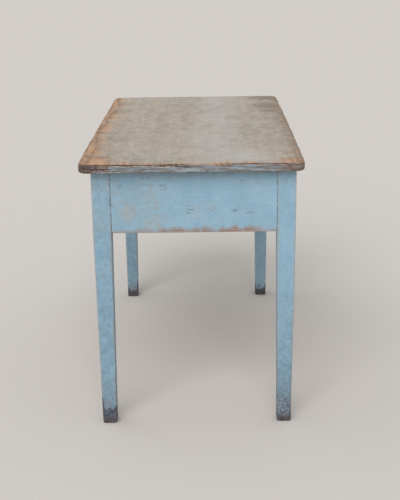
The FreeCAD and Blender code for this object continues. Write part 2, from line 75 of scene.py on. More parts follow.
# Worn shapes of the top
FAR_CORNER_RADIUS = 0.016
NEAR_CORNER_RADIUS = 0.026
UPPER_EDGE_ROUND = 0.0065
LOWER_EDGE_ROUND = 0.0042
LARGEST_EDGE_ROUND = 0.0125
SMALLEST_ROUND_SHARE = 0.3
CORNER_WEAR_REACH = 0.060
UPPER_CORNER_WEAR = 0.0050
LOWER_CORNER_WEAR = 0.0026
PLANK_JOINT_ROUND = 0.0011
RIDGE_DEPTH = 0.0011
RIDGE_LENGTH = 0.07
RIDGE_HEIGHT = 0.0042
TOP_SAG = 0.0008
TOP_ASKEW = 0.009
NEAR_TAPER = 0.009
TOP_CELL = 0.007
TOP_LAYER = 0.0015

# Worn shapes of the painted pieces
FOOT_SIZE = 0.039
LEG_ROUND = 0.0034
FOOT_ROUND = 0.004
FOOT_ROUND_TOP = 0.05
BOARD_ROUND = 0.0024
FRONT_ROUND = 0.0022
SHARPEST_SHARE = 0.35
NICK_DEPTH = 0.0028
FACE_WAVE = 0.0003
LEG_CELL = 0.0045
BOARD_CELL = 0.0042
BURIED = 0.05
JOINT_BITE = 0.0006
END_INSET = 0.0003

# Eased pieces inside the base
EASED_WIDTH = 0.0007
EASED_ANGLE = math.radians(35)
SHORT_EDGE = 0.005
FLAT_ANGLE = math.radians(1)
MERGE_GAP = 0.000002
SHARP_ANGLE = math.radians(42)

# Where a block is cut beside an arris, as shares of the rounding there
ARRIS_SHARES = (0, 0.1, 0.24, 0.42, 0.65, 0.95, 1.35, 1.9)


# Smooth changes over a surface

def wander(point, size, seed=0.0):
    """Smooth noise from about -1 to 1 that changes over the given size."""
    return noise.noise(Vector(point) / size + Vector((seed, seed, seed)))


def fade(value, start, end):
    """0 at start and 1 at end, with a smooth change between them."""
    share = min(1.0, max(0.0, (value - start) / (end - start)))
    return share * share * (3 - 2 * share)


def spot_strength(spots, first, second):
    """The strongest of several round spots at a place on a face. A spot is its middle, radius and amount."""
    strength = 0.0
    for spot_first, spot_second, radius, amount in spots:
        distance = math.hypot(first - spot_first, second - spot_second)
        strength = max(strength, amount * fade(distance, radius, 0))
    return strength


def rounded(first_gap, second_gap, radius):
    """Moves a point near an arris onto its rounding. The gaps are its distances from the two faces."""
    first = radius - first_gap
    second = radius - second_gap
    if first <= 0 or second <= 0:
        return first_gap, second_gap
    share = max(first, second) / math.hypot(first, second)
    return radius - first * share, radius - second * share


# Blocks of four-sided faces

def cut_places(low, high, cell, rounds):
    """Places of the cuts along one direction: close together near a rounding, then one for each cell."""
    first = [low + share * rounds[0] for share in ARRIS_SHARES]
    last = [high - share * rounds[1] for share in ARRIS_SHARES]
    count = max(1, round((last[-1] - first[-1]) / cell))
    step = (last[-1] - first[-1]) / count
    inner = [first[-1] + number * step for number in range(1, count)]
    return sorted(set(first + inner + last))


def block(low, high, cells, rounds):
    """A closed block that is cut into cells. Rounds are the roundings of its two ends along X, Y and Z."""
    places = [cut_places(*row) for row in zip(low, high, cells, rounds)]
    mesh = bmesh.new()
    bmesh.ops.create_cube(mesh, size=1)
    for axis, cuts in enumerate(places):
        edges = [edge for edge in mesh.edges if abs(edge.verts[0].co[axis] - edge.verts[1].co[axis]) > 0.5]
        bmesh.ops.subdivide_edges(mesh, edges=edges, cuts=len(cuts) - 2, use_grid_fill=True)
    for vertex in mesh.verts:
        numbers = [round((vertex.co[axis] + 0.5) * (len(cuts) - 1)) for axis, cuts in enumerate(places)]
        vertex.co = [cuts[number] for cuts, number in zip(places, numbers)]
    return mesh


def wear_layers(mesh, names):
    return {name: mesh.verts.layers.float.new(name) for name in names}


def set_wear(vertex, layers, amounts):
    for name, amount in amounts.items():
        vertex[layers[name]] = amount


def at_least(amounts, name, amount):
    amounts[name] = max(amounts[name], amount)


PIECE_NUMBER = iter(range(1, 100))


def add_wood(mesh, low, high, along):
    """Lays a piece in a tree of its own: each point gets a place with X along the grain, off the heart."""
    number = next(PIECE_NUMBER)
    middle = (low + high) / 2
    heart = Vector((1.7 * number, 0.018 + 0.031 * (number % 3), 0.045 + 0.017 * (number % 4)))
    wood = mesh.verts.layers.float_vector.new("wood")
    for vertex in mesh.verts:
        off = vertex.co - middle
        vertex[wood] = Vector((off[along], off[(along + 1) % 3], off[(along + 2) % 3])) + heart


def add_object(name, data):
    added = bpy.data.objects.new(name, data)
    bpy.context.scene.collection.objects.link(added)
    return added


def mesh_object(mesh, name, material):
    data = bpy.data.meshes.new(name)
    mesh.to_mesh(data)
    mesh.free()
    data.materials.append(material)
    return add_object(name, data)


PIECE_WORDS = {
    "scrubbed_top": "scrubbed",
    "blue_paint": "painted",
    "turned_knob": "turned",
    "bare_pine": "bare",
}


def place_piece(mesh, node, slot):
    """Makes an object of a finished mesh, which stands for its node and moves with that node's body."""
    bmesh.ops.recalc_face_normals(mesh, faces=mesh.faces)
    piece = mesh_object(mesh, f"{PIECE_WORDS[slot]}_{node}", FINISHES[slot])
    piece.data.shade_smooth()
    piece.data.set_sharp_from_angle(angle=SHARP_ANGLE)
    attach(piece, BODY_OF[node])
    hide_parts(node)


# Top planks

# In the planks the grime layer holds dirt and painted shade, and the pale layer pale patches and a painted
# sheen
PLANK_LAYERS = ("bare", "stain", "grime_and_shade", "coat", "pale")
TOP_BARE_SPOTS = (
    (0.585, -0.275, 0.120, 0.95),
    (0.530, -0.262, 0.080, 0.80),
    (0.450, -0.290, 0.100, 0.80),
    (0.330, -0.285, 0.120, 0.62),
    (0.590, -0.180, 0.050, 0.60),
    (-0.110, -0.275, 0.110, 0.55),
    (0.598, 0.095, 0.030, 0.80),
    (0.598, 0.150, 0.030, 0.80),
    (0.598, -0.030, 0.035, 0.60),
    (0.585, 0.280, 0.100, 0.80),
    (0.470, 0.290, 0.090, 0.55),
    (-0.080, 0.290, 0.100, 0.45),
)
TOP_STAIN_SPOTS = (
    (0.515, -0.250, 0.070, 0.66),
    (-0.270, -0.285, 0.150, 0.60),
    (-0.440, -0.270, 0.130, 0.48),
    (0.240, -0.295, 0.090, 0.45),
    (0.260, -0.230, 0.110, 0.42),
    (-0.560, 0.275, 0.160, 0.85),
    (-0.360, 0.275, 0.170, 0.80),
    (-0.250, 0.262, 0.100, 0.70),
    (-0.080, 0.292, 0.110, 0.55),
    (0.480, 0.280, 0.150, 0.45),
    (0.565, 0.265, 0.070, 0.50),
)
TOP_GRIME_SPOTS = (
    (0.600, -0.300, 0.060, 0.45),
    (0.600, 0.262, 0.034, 0.36),
    (0.280, -0.294, 0.026, 0.42),
    (-0.070, 0.296, 0.030, 0.50),
    (-0.520, 0.298, 0.070, 0.40),
)
TOP_PALE_SPOTS = (
    (0.530, 0.130, 0.130, 0.90),
    (0.420, 0.070, 0.120, 0.55),
    (0.480, -0.120, 0.120, 0.30),
    (-0.520, -0.030, 0.120, 0.30),
)
# A painted sheen: a pale strip along the middle of the top, where light glances off it
SHEEN_STRIP_MIDDLE = 0.068
SHEEN_STRIP_WIDTH = 0.115

# Widths of the bands along the edges that are rubbed, stained or dirty
LEFT_RUB_WIDTH = 0.20
RIGHT_RUB_WIDTH = 0.12
NEAR_RUB_WIDTH = 0.04
FAR_RUB_WIDTH = 0.10
LEFT_STAIN_WIDTH = 0.13
RIGHT_STAIN_WIDTH = 0.16
FAR_STAIN_WIDTH = 0.08
FAR_GRIME_WIDTH = 0.02

# Dirt, darker stretches, painted shade and paint on the flanks
FLANK_END = 0.15
FLANK_FOOT = 0.007
FLANK_TURN = 0.045
# A darker line along part of the near upper arris: its middle and reach across the table, its width, and its
# drop below the face
ARRIS_DARK_MIDDLE = -0.10
ARRIS_DARK_REACH = 0.12
ARRIS_DARK_WIDTH = 0.012
ARRIS_DARK_DROP = (0.009, 0.003)
COAT_FROM_CORNER = (0.02, 0.11)
COAT_RUB_DROP = (0.013, 0.003)
JOINT_GRIME = 0.36

# Long cracks in the near end: their start and stop across the table, height and depth
END_CRACKS = (
    (-0.290, 0.010, 0.7535, 0.0024),
    (-0.120, 0.020, 0.7505, 0.0020),
    (-0.060, 0.045, 0.7470, 0.0016),
    (0.105, 0.166, 0.7375, 0.0018),
    (0.140, 0.275, 0.7535, 0.0020),
    (-0.292, -0.190, 0.7435, 0.0020),
)
CRACK_WIDTH = 0.0021
CRACK_WANDER = 0.0012
CRACK_DARK = 0.0016


def corner_radius(point):
    """The radius of the nearest corner of the top in plan. The corners of the near end are worn most."""
    return NEAR_CORNER_RADIUS if point.x > 0 else FAR_CORNER_RADIUS


def corner_wear(point):
    """How near a place on the outline of the top is to a corner, from 0 to 1."""
    from_corner = max(TOP_HIGH.x - abs(point.x), TOP_HIGH.y - abs(point.y))
    return fade(from_corner, CORNER_WEAR_REACH, 0)


def top_outline(point):
    """How far a place is inside the outline of the top, the way inwards and the nearest outline point."""
    gap_x = TOP_HIGH.x - abs(point.x)
    gap_y = TOP_HIGH.y - abs(point.y)
    side_x = math.copysign(1, point.x)
    side_y = math.copysign(1, point.y)
    radius = corner_radius(point)
    if max(gap_x, gap_y) < radius:
        out = Vector((radius - gap_x, radius - gap_y))
        reach_out = max(out)
        out.normalize()
        centre = Vector((TOP_HIGH.x - radius, TOP_HIGH.y - radius))
        edge = centre + out * radius
        edge = Vector((side_x * edge.x, side_y * edge.y))
        return radius - reach_out, Vector((-side_x * out.x, -side_y * out.y)), edge
    if gap_x < gap_y:
        return gap_x, Vector((-side_x, 0)), Vector((side_x * TOP_HIGH.x, point.y))
    return gap_y, Vector((0, -side_y)), Vector((point.x, side_y * TOP_HIGH.y))


def crack_depth(point):
    """How deep the long cracks in the end of the top are at a place."""
    depth = 0.0
    for start, stop, height, deepest in END_CRACKS:
        middle = (start + stop) / 2
        reach_out = fade(abs(point.y - middle), (stop - start) / 2, (stop - start) / 5)
        line = height + CRACK_WANDER * wander((point.y, 0, height), 0.02)
        depth = max(depth, deepest * reach_out * fade(abs(point.z - line), CRACK_WIDTH, 0))
    return depth


def upper_round(point, rim):
    """The radius of the upper arris: uneven, chipped and largest at the corners."""
    chips = fade(wander(rim, 0.017, 3), 0.32, 0.62)
    uneven = 1 + 0.75 * wander(rim, 0.11) + 0.35 * wander(rim, 0.035) + 0.45 * chips
    radius = UPPER_EDGE_ROUND * uneven + UPPER_CORNER_WEAR * corner_wear(point)
    return min(LARGEST_EDGE_ROUND, max(SMALLEST_ROUND_SHARE * UPPER_EDGE_ROUND, radius))


def lower_round(point, rim):
    radius = LOWER_EDGE_ROUND * (1 + 0.6 * wander(rim, 0.08, 7)) + LOWER_CORNER_WEAR * corner_wear(point)
    return max(SMALLEST_ROUND_SHARE * LOWER_EDGE_ROUND, radius)


def worn_plank_point(point, joints):
    """A place on a plank after years of use: edges rounded and ridged, face dished, the top askew."""
    gap, inwards, edge = top_outline(point)
    rim = Vector((edge.x, edge.y, 0))
    drop = TOP_HIGH.z - point.z
    rise = point.z - TOP_LOW.z
    on_face = fade(drop, TOP_LAYER, 0)
    on_flank = fade(gap, TOP_LAYER, 0) * fade(drop, 0, UPPER_EDGE_ROUND) * fade(rise, 0, LOWER_EDGE_ROUND)
    for joint in joints:
        joint_gap, drop = rounded(abs(point.y - joint), drop, PLANK_JOINT_ROUND)
        point.y = joint + math.copysign(joint_gap, point.y - joint) if joint_gap else point.y
    if drop < rise:
        moved, drop = rounded(gap, drop, upper_round(point, rim))
        drop += on_face * TOP_SAG * (0.5 + 0.35 * wander(point, 0.2) + 0.25 * wander(point, 0.045))
        height = TOP_HIGH.z - drop
    else:
        moved, rise = rounded(gap, rise, lower_round(point, rim))
        height = TOP_LOW.z + rise
    streak = wander((point.x / RIDGE_LENGTH, point.y / RIDGE_LENGTH, point.z / RIDGE_HEIGHT), 1)
    moved += on_flank * RIDGE_DEPTH * (0.55 + 0.6 * streak + 0.4 * wander(rim, 0.16, 5))
    if point.x > 0:
        moved += on_flank * crack_depth(point)
    plan = Vector((point.x, point.y)) + inwards * (moved - gap)
    if gap < corner_radius(point):
        plan = edge + inwards * moved
    narrowed = 1 - NEAR_TAPER * fade(plan.x, 0, TOP_HIGH.x)
    return Vector((plan.x, narrowed * plan.y - TOP_ASKEW * plan.x, height))


def edge_rub(gap, wide, amount):
    """Wear along an edge: a wide faint band, and a narrow one at the arris."""
    return amount * (0.5 * fade(gap, wide, 0) + 0.5 * fade(gap, 0.3 * wide, 0))


def flank_dirt_and_shade(point, near_gap, left_gap):
    """Darkening of the near flank and round its corners. Dirt in the cracks, a darker stretch towards the
    left end, and painted shade along the foot.
    """
    cracked = 0.78 * fade(crack_depth(point), 0, CRACK_DARK)
    left_end_dark = 0.68 * fade(left_gap, FLANK_END, 0)
    # Painted shade along the foot of the flank, where its lower arris turns down
    foot_shade = 0.62 * fade(point.z - TOP_LOW.z, FLANK_FOOT, 0)
    return fade(near_gap, FLANK_TURN, 0) * max(cracked, left_end_dark, foot_shade)


def plank_wear(point):
    """How far the grey face is rubbed bare, stained, dirty or pale, and how much paint the flank keeps.
    Painted shade along the foot of the flank counts as dirty, and a painted sheen along the middle as pale.
    """
    left_gap = point.y - TOP_LOW.y
    right_gap = TOP_HIGH.y - point.y
    near_gap = TOP_HIGH.x - point.x
    far_gap = point.x - TOP_LOW.x
    drop = TOP_HIGH.z - point.z
    bare = max(
        edge_rub(left_gap, LEFT_RUB_WIDTH, 0.78 + 0.3 * wander((point.x, 0, 0), 0.12)),
        edge_rub(right_gap, RIGHT_RUB_WIDTH, 0.48 + 0.2 * wander((point.x, 9, 0), 0.11)),
        edge_rub(near_gap, NEAR_RUB_WIDTH, 0.54 + 0.3 * wander((0, point.y, 0), 0.05)),
        edge_rub(far_gap, FAR_RUB_WIDTH, 0.35),
        spot_strength(TOP_BARE_SPOTS, point.x, point.y),
    )
    stain = max(
        edge_rub(right_gap, RIGHT_STAIN_WIDTH, 0.66),
        edge_rub(far_gap, FAR_STAIN_WIDTH, 0.62),
        edge_rub(left_gap, LEFT_STAIN_WIDTH, 0.58 + 1.1 * wander((point.x, 3 * point.y, 7), 0.04)),
        spot_strength(TOP_STAIN_SPOTS, point.x, point.y),
    )
    on_arris = fade(near_gap, ARRIS_DARK_WIDTH, 0) * fade(drop, *ARRIS_DARK_DROP)
    along_arris = fade(abs(point.y - ARRIS_DARK_MIDDLE), ARRIS_DARK_REACH, 0.6 * ARRIS_DARK_REACH)
    grime_and_shade = max(
        spot_strength(TOP_GRIME_SPOTS, point.x, point.y),
        0.45 * fade(far_gap, FAR_GRIME_WIDTH, 0),
        0.42 * on_arris * along_arris,
    )
    if min(near_gap, left_gap, right_gap) < TOP_LAYER:
        grime_and_shade = max(grime_and_shade, flank_dirt_and_shade(point, near_gap, left_gap))
    # A painted sheen: a pale strip along the middle of the top; the pale spots add to it
    from_sheen_strip = abs(point.y - SHEEN_STRIP_MIDDLE + 0.05 * wander(point, 0.09, 4))
    strip = (0.62 + 0.4 * wander(point, 0.05, 6)) * fade(from_sheen_strip, SHEEN_STRIP_WIDTH, 0)
    from_corner = max(min(left_gap, right_gap), min(near_gap, far_gap))
    coat = 0.12 + 0.52 * fade(from_corner, *COAT_FROM_CORNER) * (1.0 if near_gap < far_gap else 0.85)
    return {
        "bare": bare,
        "stain": stain,
        "grime_and_shade": grime_and_shade,
        "coat": coat - 0.45 * fade(drop, *COAT_RUB_DROP),
        "pale": max(strip, spot_strength(TOP_PALE_SPOTS, point.x, point.y)),
    }


def scrubbed_plank(node):
    low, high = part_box(node)
    joints = [y for y in (low.y, high.y) if abs(y) < TOP_HIGH.y - NEAR_CORNER_RADIUS]
    sides = [PLANK_JOINT_ROUND if y in joints else UPPER_EDGE_ROUND for y in (low.y, high.y)]
    ends = [UPPER_EDGE_ROUND, UPPER_EDGE_ROUND]
    faces = [LOWER_EDGE_ROUND / 2, UPPER_EDGE_ROUND / 2]
    mesh = block(low, high, (TOP_CELL, TOP_CELL, TOP_LAYER), (ends, sides, faces))
    add_wood(mesh, low, high, 0)
    layers = wear_layers(mesh, PLANK_LAYERS)
    for vertex in mesh.verts:
        set_wear(vertex, layers, plank_wear(vertex.co))
        if any(abs(vertex.co.y - joint) < 0.5 * PLANK_JOINT_ROUND for joint in joints):
            vertex[layers["grime_and_shade"]] = JOINT_GRIME
        vertex.co = worn_plank_point(vertex.co.copy(), joints)
    place_piece(mesh, node, "scrubbed_top")


# Painted legs and boards

# In the paint the grime layer holds dirt and painted shadow, the soil layer soil and painted shade, and the
# rubbed layer grey wear with some painted shade
PAINT_LAYERS = ("bare", "grime_and_shade", "rubbed", "soil_and_shade", "scuffed")
ARRIS_RUB = (0.009, 0.001)
# Painted shadow just under the overhanging top: how far down it reaches and how dark it is
UNDER_TOP_LINE = 0.0055
UNDER_TOP_SHADOW = 0.62
# Dirt and painted shade along the joints of the boards with the legs: its width and darkness
JOINT_LINE = 0.0024
JOINT_DIRT_AND_SHADE = 0.72
CLEAN_SOIL = 0.12


def edge_gaps(point, low, high):
    return [min(point[axis] - low[axis], high[axis] - point[axis]) for axis in range(3)]


def softened(point, low, high, radius):
    """A place on a block after its arrises have worn round and picked up nicks."""
    nick = NICK_DEPTH * fade(wander(point, 0.011, 4), 0.38, 0.7)
    uneven = 1 + 0.5 * wander(point, 0.06) + 0.25 * wander(point, 0.02)
    rounding = max(SHARPEST_SHARE * radius, radius * uneven) + nick
    gaps = edge_gaps(point, low, high)
    for axis in range(3):
        if gaps[axis] == 0:
            gaps[axis] = FACE_WAVE * (0.5 + 0.5 * wander(point, 0.05, 2))
    for first, second in ((0, 1), (0, 2), (1, 2)):
        gaps[first], gaps[second] = rounded(gaps[first], gaps[second], rounding)
    worn = low.copy()
    for axis in range(3):
        near_low = point[axis] - low[axis] <= high[axis] - point[axis]
        worn[axis] = low[axis] + gaps[axis] if near_low else high[axis] - gaps[axis]
    return worn


def arris_gap(point, low, high):
    """The distance from the nearest arris."""
    gaps = sorted(edge_gaps(point, low, high))
    return math.hypot(gaps[0], gaps[1])


def arris_rub(gap):
    """Wear by the distance from an arris, from 0 to 1."""
    return fade(gap, *ARRIS_RUB)


def under_top_shadow(point):
    """Painted shadow in the corner under the overhanging top."""
    return UNDER_TOP_SHADOW * fade(TOP_LOW.z - point.z, UNDER_TOP_LINE, 0)


def joint_dirt_and_shade(gap):
    """Dirt and painted shade in the corner where a board meets a leg, by the distance from the joint."""
    return JOINT_DIRT_AND_SHADE * fade(gap, JOINT_LINE, 0)


# How each leg is worn: the height of its dark foot and of its lost paint, then the amounts of dark lacing,
# of grey paint with some painted shade, of soil all over and of dust with painted shade lower down
FEET = {
    # leg_front_right is the greyest: grey paint, and painted shade in place of the bluer light on the leg
    # beside it
    "leg_front_right": dict(dark=0.040, lost=0.200, laced=0.42, greyed_and_shaded=0.30, soiled=0.33, dusty_and_shaded=0.12),
    "leg_back_right": dict(dark=0.012, lost=0.210, laced=0.50, greyed_and_shaded=0.04, soiled=0.22, dusty_and_shaded=0.28),
    "leg_front_left": dict(dark=0.020, lost=0.090, laced=0.40, greyed_and_shaded=0.16, soiled=0.28, dusty_and_shaded=0.18),
    "leg_back_left": dict(dark=0.020, lost=0.095, laced=0.40, greyed_and_shaded=0.12, soiled=0.02, dusty_and_shaded=0.18),
}
LOST_LOW = 0.02
DARK_ABOVE = 0.020
DARK_BELOW = 0.012
DARK_ARRIS_RISE = 0.030
SOLE_WEAR = 0.024
DUST_AND_SHADE_HEIGHTS = (0.60, 0.05)
GREY_HEIGHTS = (0.60, 0.35)
KICKED_HEIGHTS = (0.20, 0.10)


def leg_wear(node, point, low, high):
    """How bare, dirty, rubbed and soiled the paint of a leg is at a place, with painted shadow under the top
    and painted shade towards the floor.
    """
    foot = FEET[node]
    edge = arris_rub(arris_gap(point, low, high))
    lost = fade(point.z, foot["lost"] * (1 + 0.2 * wander(point, 0.02, 2)), LOST_LOW)
    dark_top = foot["dark"] * (1 + 0.25 * wander(point, 0.014))
    dark_top += DARK_ARRIS_RISE * edge * (0.7 + wander(point, 0.02, 6))
    dark = 1.1 * fade(point.z, dark_top + DARK_ABOVE, dark_top - DARK_BELOW)
    sole = fade(point.z, SOLE_WEAR, 0.4 * SOLE_WEAR)
    # Grey over the paint; on leg_front_right it is partly painted shade, beside the bluer leg next to it
    greyed_and_shaded = foot["greyed_and_shaded"] * (1 - 0.5 * fade(point.z, *GREY_HEIGHTS)) + 0.2 * wander(point, 0.08, 11)
    kicked = 0.45 * fade(point.z, *KICKED_HEIGHTS) * (0.7 + 0.5 * wander(point, 0.03, 5))
    # Darker towards the floor: dust and painted shade
    dust = foot["dusty_and_shaded"] * fade(point.z, *DUST_AND_SHADE_HEIGHTS)
    return {
        "bare": max(0.22 * lost, edge * (0.12 + 0.3 * wander(point, 0.05, 8)), sole),
        "grime_and_shade": max(dark, foot["laced"] * lost, under_top_shadow(point)),
        "rubbed": max(greyed_and_shaded, edge * (0.70 + 0.3 * wander(point, 0.07, 3)), kicked),
        "soil_and_shade": foot["soiled"] + dust + 0.06 * wander(point, 0.03, 9) + 0.1 * lost,
    }


def painted_leg(node):
    low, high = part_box(node)
    sides = [LEG_ROUND, LEG_ROUND]
    mesh = block(low, high, 3 * [LEG_CELL], (sides, sides, [FOOT_ROUND, 0]))
    middle = (low + high) / 2
    free_high = high + Vector((0, 0, BURIED))
    layers = wear_layers(mesh, PAINT_LAYERS)
    for vertex in mesh.verts:
        place = vertex.co.copy()
        set_wear(vertex, layers, leg_wear(node, place, low, free_high))
        radius = LEG_ROUND + (FOOT_ROUND - LEG_ROUND) * fade(place.z, FOOT_ROUND_TOP, 0)
        worn = softened(place, low, free_high, radius)
        share = min(1.0, place.z / APRON_BOTTOM)
        size = (FOOT_SIZE + (LEG_SIZE - FOOT_SIZE) * share) / LEG_SIZE
        vertex.co = (middle.x + size * (worn.x - middle.x), middle.y + size * (worn.y - middle.y), worn.z)
    add_wood(mesh, low, high, 2)
    place_piece(mesh, node, "blue_paint")


SIDES = {"-x": (0, -1), "+x": (0, 1), "-y": (1, -1), "+y": (1, 1), "-z": (2, -1), "+z": (2, 1)}


def moved_out(low, high, sides, amount):
    """The corners of a block with the given sides moved outwards."""
    low = low.copy()
    high = high.copy()
    for side in sides:
        axis, way = SIDES[side]
        if way < 0:
            low[axis] -= amount
        else:
            high[axis] += amount
    return low, high


def on_side(point, low, high, side):
    axis, way = SIDES[side]
    gap = point[axis] - low[axis] if way < 0 else high[axis] - point[axis]
    return gap < MERGE_GAP


def painted_board(node, low, high, along, buried, bare_sides, wear, radius=BOARD_ROUND):
    """A board with worn arrises. Its buried sides meet other pieces, and its bare sides have no paint."""
    free_low, free_high = moved_out(low, high, buried, BURIED)
    rounds = [[0 if way + axis in buried else radius for way in "-+"] for axis in "xyz"]
    mesh = block(low, high, 3 * [BOARD_CELL], rounds)
    add_wood(mesh, low, high, along)
    layers = wear_layers(mesh, PAINT_LAYERS)
    for vertex in mesh.verts:
        place = vertex.co.copy()
        amounts = wear(place, arris_gap(place, free_low, free_high))
        for side, amount in bare_sides.items():
            if on_side(place, low, high, side):
                at_least(amounts, "bare", amount)
        set_wear(vertex, layers, amounts)
        vertex.co = softened(place, free_low, free_high, radius)
    place_piece(mesh, node, "blue_paint")


APRON_SCUFFS = (
    (-0.192, 0.687, 0.020, 0.80),
    (-0.153, 0.686, 0.018, 0.70),
    (-0.080, 0.690, 0.022, 0.85),
    (-0.011, 0.625, 0.020, 1.00),
    (0.128, 0.702, 0.016, 0.90),
    (0.122, 0.672, 0.016, 0.70),
    (0.112, 0.623, 0.018, 0.85),
    (0.150, 0.612, 0.018, 0.80),
    (0.048, 0.624, 0.018, 0.70),
    (-0.120, 0.700, 0.030, 0.50),
    (-0.030, 0.655, 0.030, 0.40),
    (0.080, 0.590, 0.030, 0.45),
)
APRON_RUBBED_SPOTS = (
    (-0.176, 0.620, 0.050, 0.50),
    (-0.176, 0.606, 0.016, 0.75),
    (-0.110, 0.590, 0.050, 0.45),
    (0.045, 0.635, 0.035, 0.50),
    (0.010, 0.615, 0.060, 0.38),
    (0.150, 0.620, 0.050, 0.36),
)
# Bare stretches of the lower arris: their middle across the table, reach and amount
LOWER_EDGE_WEAR = (
    (-0.135, 0.050, 0.46),
    (-0.055, 0.070, 0.66),
    (0.020, 0.055, 0.66),
    (0.098, 0.055, 0.80),
    (0.150, 0.055, 0.76),
)
LOWER_EDGE_REACH = 0.026
DULL_AND_SHADED_REACH = (0.08, -0.16)
HAND_REACH = 0.055
KNOB_GRIME_REACH = (0.030, 0.012)
# Kinds of board: how bare the arrises are, how much that changes and over what size, how grey the arrises
# and the faces are, and how much the grey of the faces changes
END_APRON = (0.30, 0.3, 0.04, 0.5, 0.12, 0.22)
LONG_BOARD = (0.34, 0.4, 0.05, 0.55, 0.14, 0.24)
DRAWER_FRONT = (0.28, 0.45, 0.045, 0.55, 0.14, 0.24)


def random_scuffs(point):
    """Where a board is scuffed: here and there."""
    return 0.9 * fade(wander(point, 0.035, 13), 0.30, 0.60)


def lower_edge_wear(point):
    """Paint rubbed off above the lower arris of the near apron."""
    strength = 0.3
    for middle, wide, amount in LOWER_EDGE_WEAR:
        strength = max(strength, amount * fade(abs(point.y - middle), wide, 0.25 * wide))
    height = LOWER_EDGE_REACH * (1 + 0.5 * wander((0, point.y, 0), 0.02))
    return strength * fade(point.z - APRON_BOTTOM, height, 0)


def board_wear(kind, point, arris):
    """Wear of every board: arrises rubbed bare or grey, grey faces, scuffs, and painted shadow under the
    top.
    """
    bare, bare_change, bare_size, grey_arris, grey, grey_change = kind
    edge = arris_rub(arris)
    return {
        "bare": edge * (bare + bare_change * wander(point, bare_size, 8)),
        "grime_and_shade": under_top_shadow(point),
        "rubbed": max(edge * grey_arris, grey + grey_change * wander(point, 0.07, 11)),
        "soil_and_shade": CLEAN_SOIL,
        "scuffed": random_scuffs(point),
    }


def end_apron_wear(point, arris):
    """Wear of the end aprons. The near one has its own scuffs, and is greyer and darker towards the left,
    with duller paint and painted shade.
    """
    worn = board_wear(END_APRON, point, arris)
    at_least(worn, "grime_and_shade", joint_dirt_and_shade(LEG_INNER_Y - abs(point.y)))
    if point.x > 0:
        # Greyer and darker towards the left: duller paint, and painted shade beside the bluer light on the
        # right
        dull_and_shaded = fade(point.y, *DULL_AND_SHADED_REACH)
        at_least(worn, "bare", lower_edge_wear(point))
        at_least(worn, "rubbed", spot_strength(APRON_RUBBED_SPOTS, point.y, point.z))
        worn["rubbed"] += 0.24 * dull_and_shaded
        worn["soil_and_shade"] += 0.16 * dull_and_shaded
        worn["scuffed"] = spot_strength(APRON_SCUFFS, point.y, point.z)
    else:
        patches = fade(wander(point, 0.05, 2), 0.0, 0.4)
        at_least(worn, "bare", 0.7 * arris_rub(arris) * patches)
    return worn


def long_board_wear(point, arris):
    """Wear of the boards along the long sides."""
    worn = board_wear(LONG_BOARD, point, arris)
    at_least(worn, "grime_and_shade", joint_dirt_and_shade(LEG_INNER_X - abs(point.x)))
    return worn


def front_wear(knob):
    """Wear of a drawer front: its paint is worn and soiled by hands round the knob."""
    def wear(point, arris):
        worn = board_wear(DRAWER_FRONT, point, arris)
        from_knob = math.hypot(point.x - knob.x, point.z - knob.z)
        hand = fade(from_knob, HAND_REACH, 0.25 * HAND_REACH)
        at_least(worn, "bare", 0.26 * hand)
        worn["grime_and_shade"] = 0.30 * fade(from_knob, *KNOB_GRIME_REACH)
        at_least(worn, "rubbed", 0.6 * hand)
        worn["soil_and_shade"] += 0.3 * hand
        return worn
    return wear


def between_legs(node, axis):
    """The corners of a board without its tenons, a hair's breadth into the legs at both ends."""
    low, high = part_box(node)
    inner = (LEG_INNER_X, LEG_INNER_Y)[axis] + JOINT_BITE
    low[axis] = -inner
    high[axis] = inner
    return low, high


# How bare the unpainted sides are: the inside, the faces round an opening and the edges of the fronts
INSIDE = 1.3
DIVIDER_SIDE = 1.0
RAIL_UNDER = 0.9
RAIL_OVER = 1.0
FRONT_END = 1.2
FRONT_EDGE = 0.75


def painted_boards():
    between = (
        ("end_apron_left", 1, ("-y", "+y", "+z"), {"+x": INSIDE}, end_apron_wear),
        ("end_apron_right", 1, ("-y", "+y", "+z"), {"-x": INSIDE}, end_apron_wear),
        ("back_apron", 0, ("-x", "+x", "+z"), {"-y": INSIDE}, long_board_wear),
        ("front_upper_rail", 0, ("-x", "+x", "+z"), {"+y": INSIDE, "-z": RAIL_UNDER}, long_board_wear),
        ("front_lower_rail", 0, ("-x", "+x"), {"+y": INSIDE, "+z": RAIL_OVER}, long_board_wear),
    )
    for node, along, buried, bare_sides, wear in between:
        painted_board(node, *between_legs(node, along), along, buried, bare_sides, wear)
    low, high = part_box("drawer_divider")
    low.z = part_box("front_lower_rail")[1].z - JOINT_BITE
    high.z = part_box("front_upper_rail")[0].z + JOINT_BITE
    divider_bare = {"+y": INSIDE, "-x": DIVIDER_SIDE, "+x": DIVIDER_SIDE}
    painted_board("drawer_divider", low, high, 2, ("-z", "+z"), divider_bare, long_board_wear)
    front_bare = {"+y": INSIDE, "-x": FRONT_END, "+x": FRONT_END, "-z": FRONT_EDGE, "+z": FRONT_EDGE}
    for drawer in DRAWERS:
        node = f"{drawer}_front"
        low, high = moved_out(*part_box(node), ("-x", "+x"), -END_INSET)
        knob_low, knob_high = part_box(f"{drawer}_knob")
        wear = front_wear((knob_low + knob_high) / 2)
        painted_board(node, low, high, 0, (), front_bare, wear, FRONT_ROUND)


# Turned knobs, wedges and pegs

KNOB_STEPS = 56
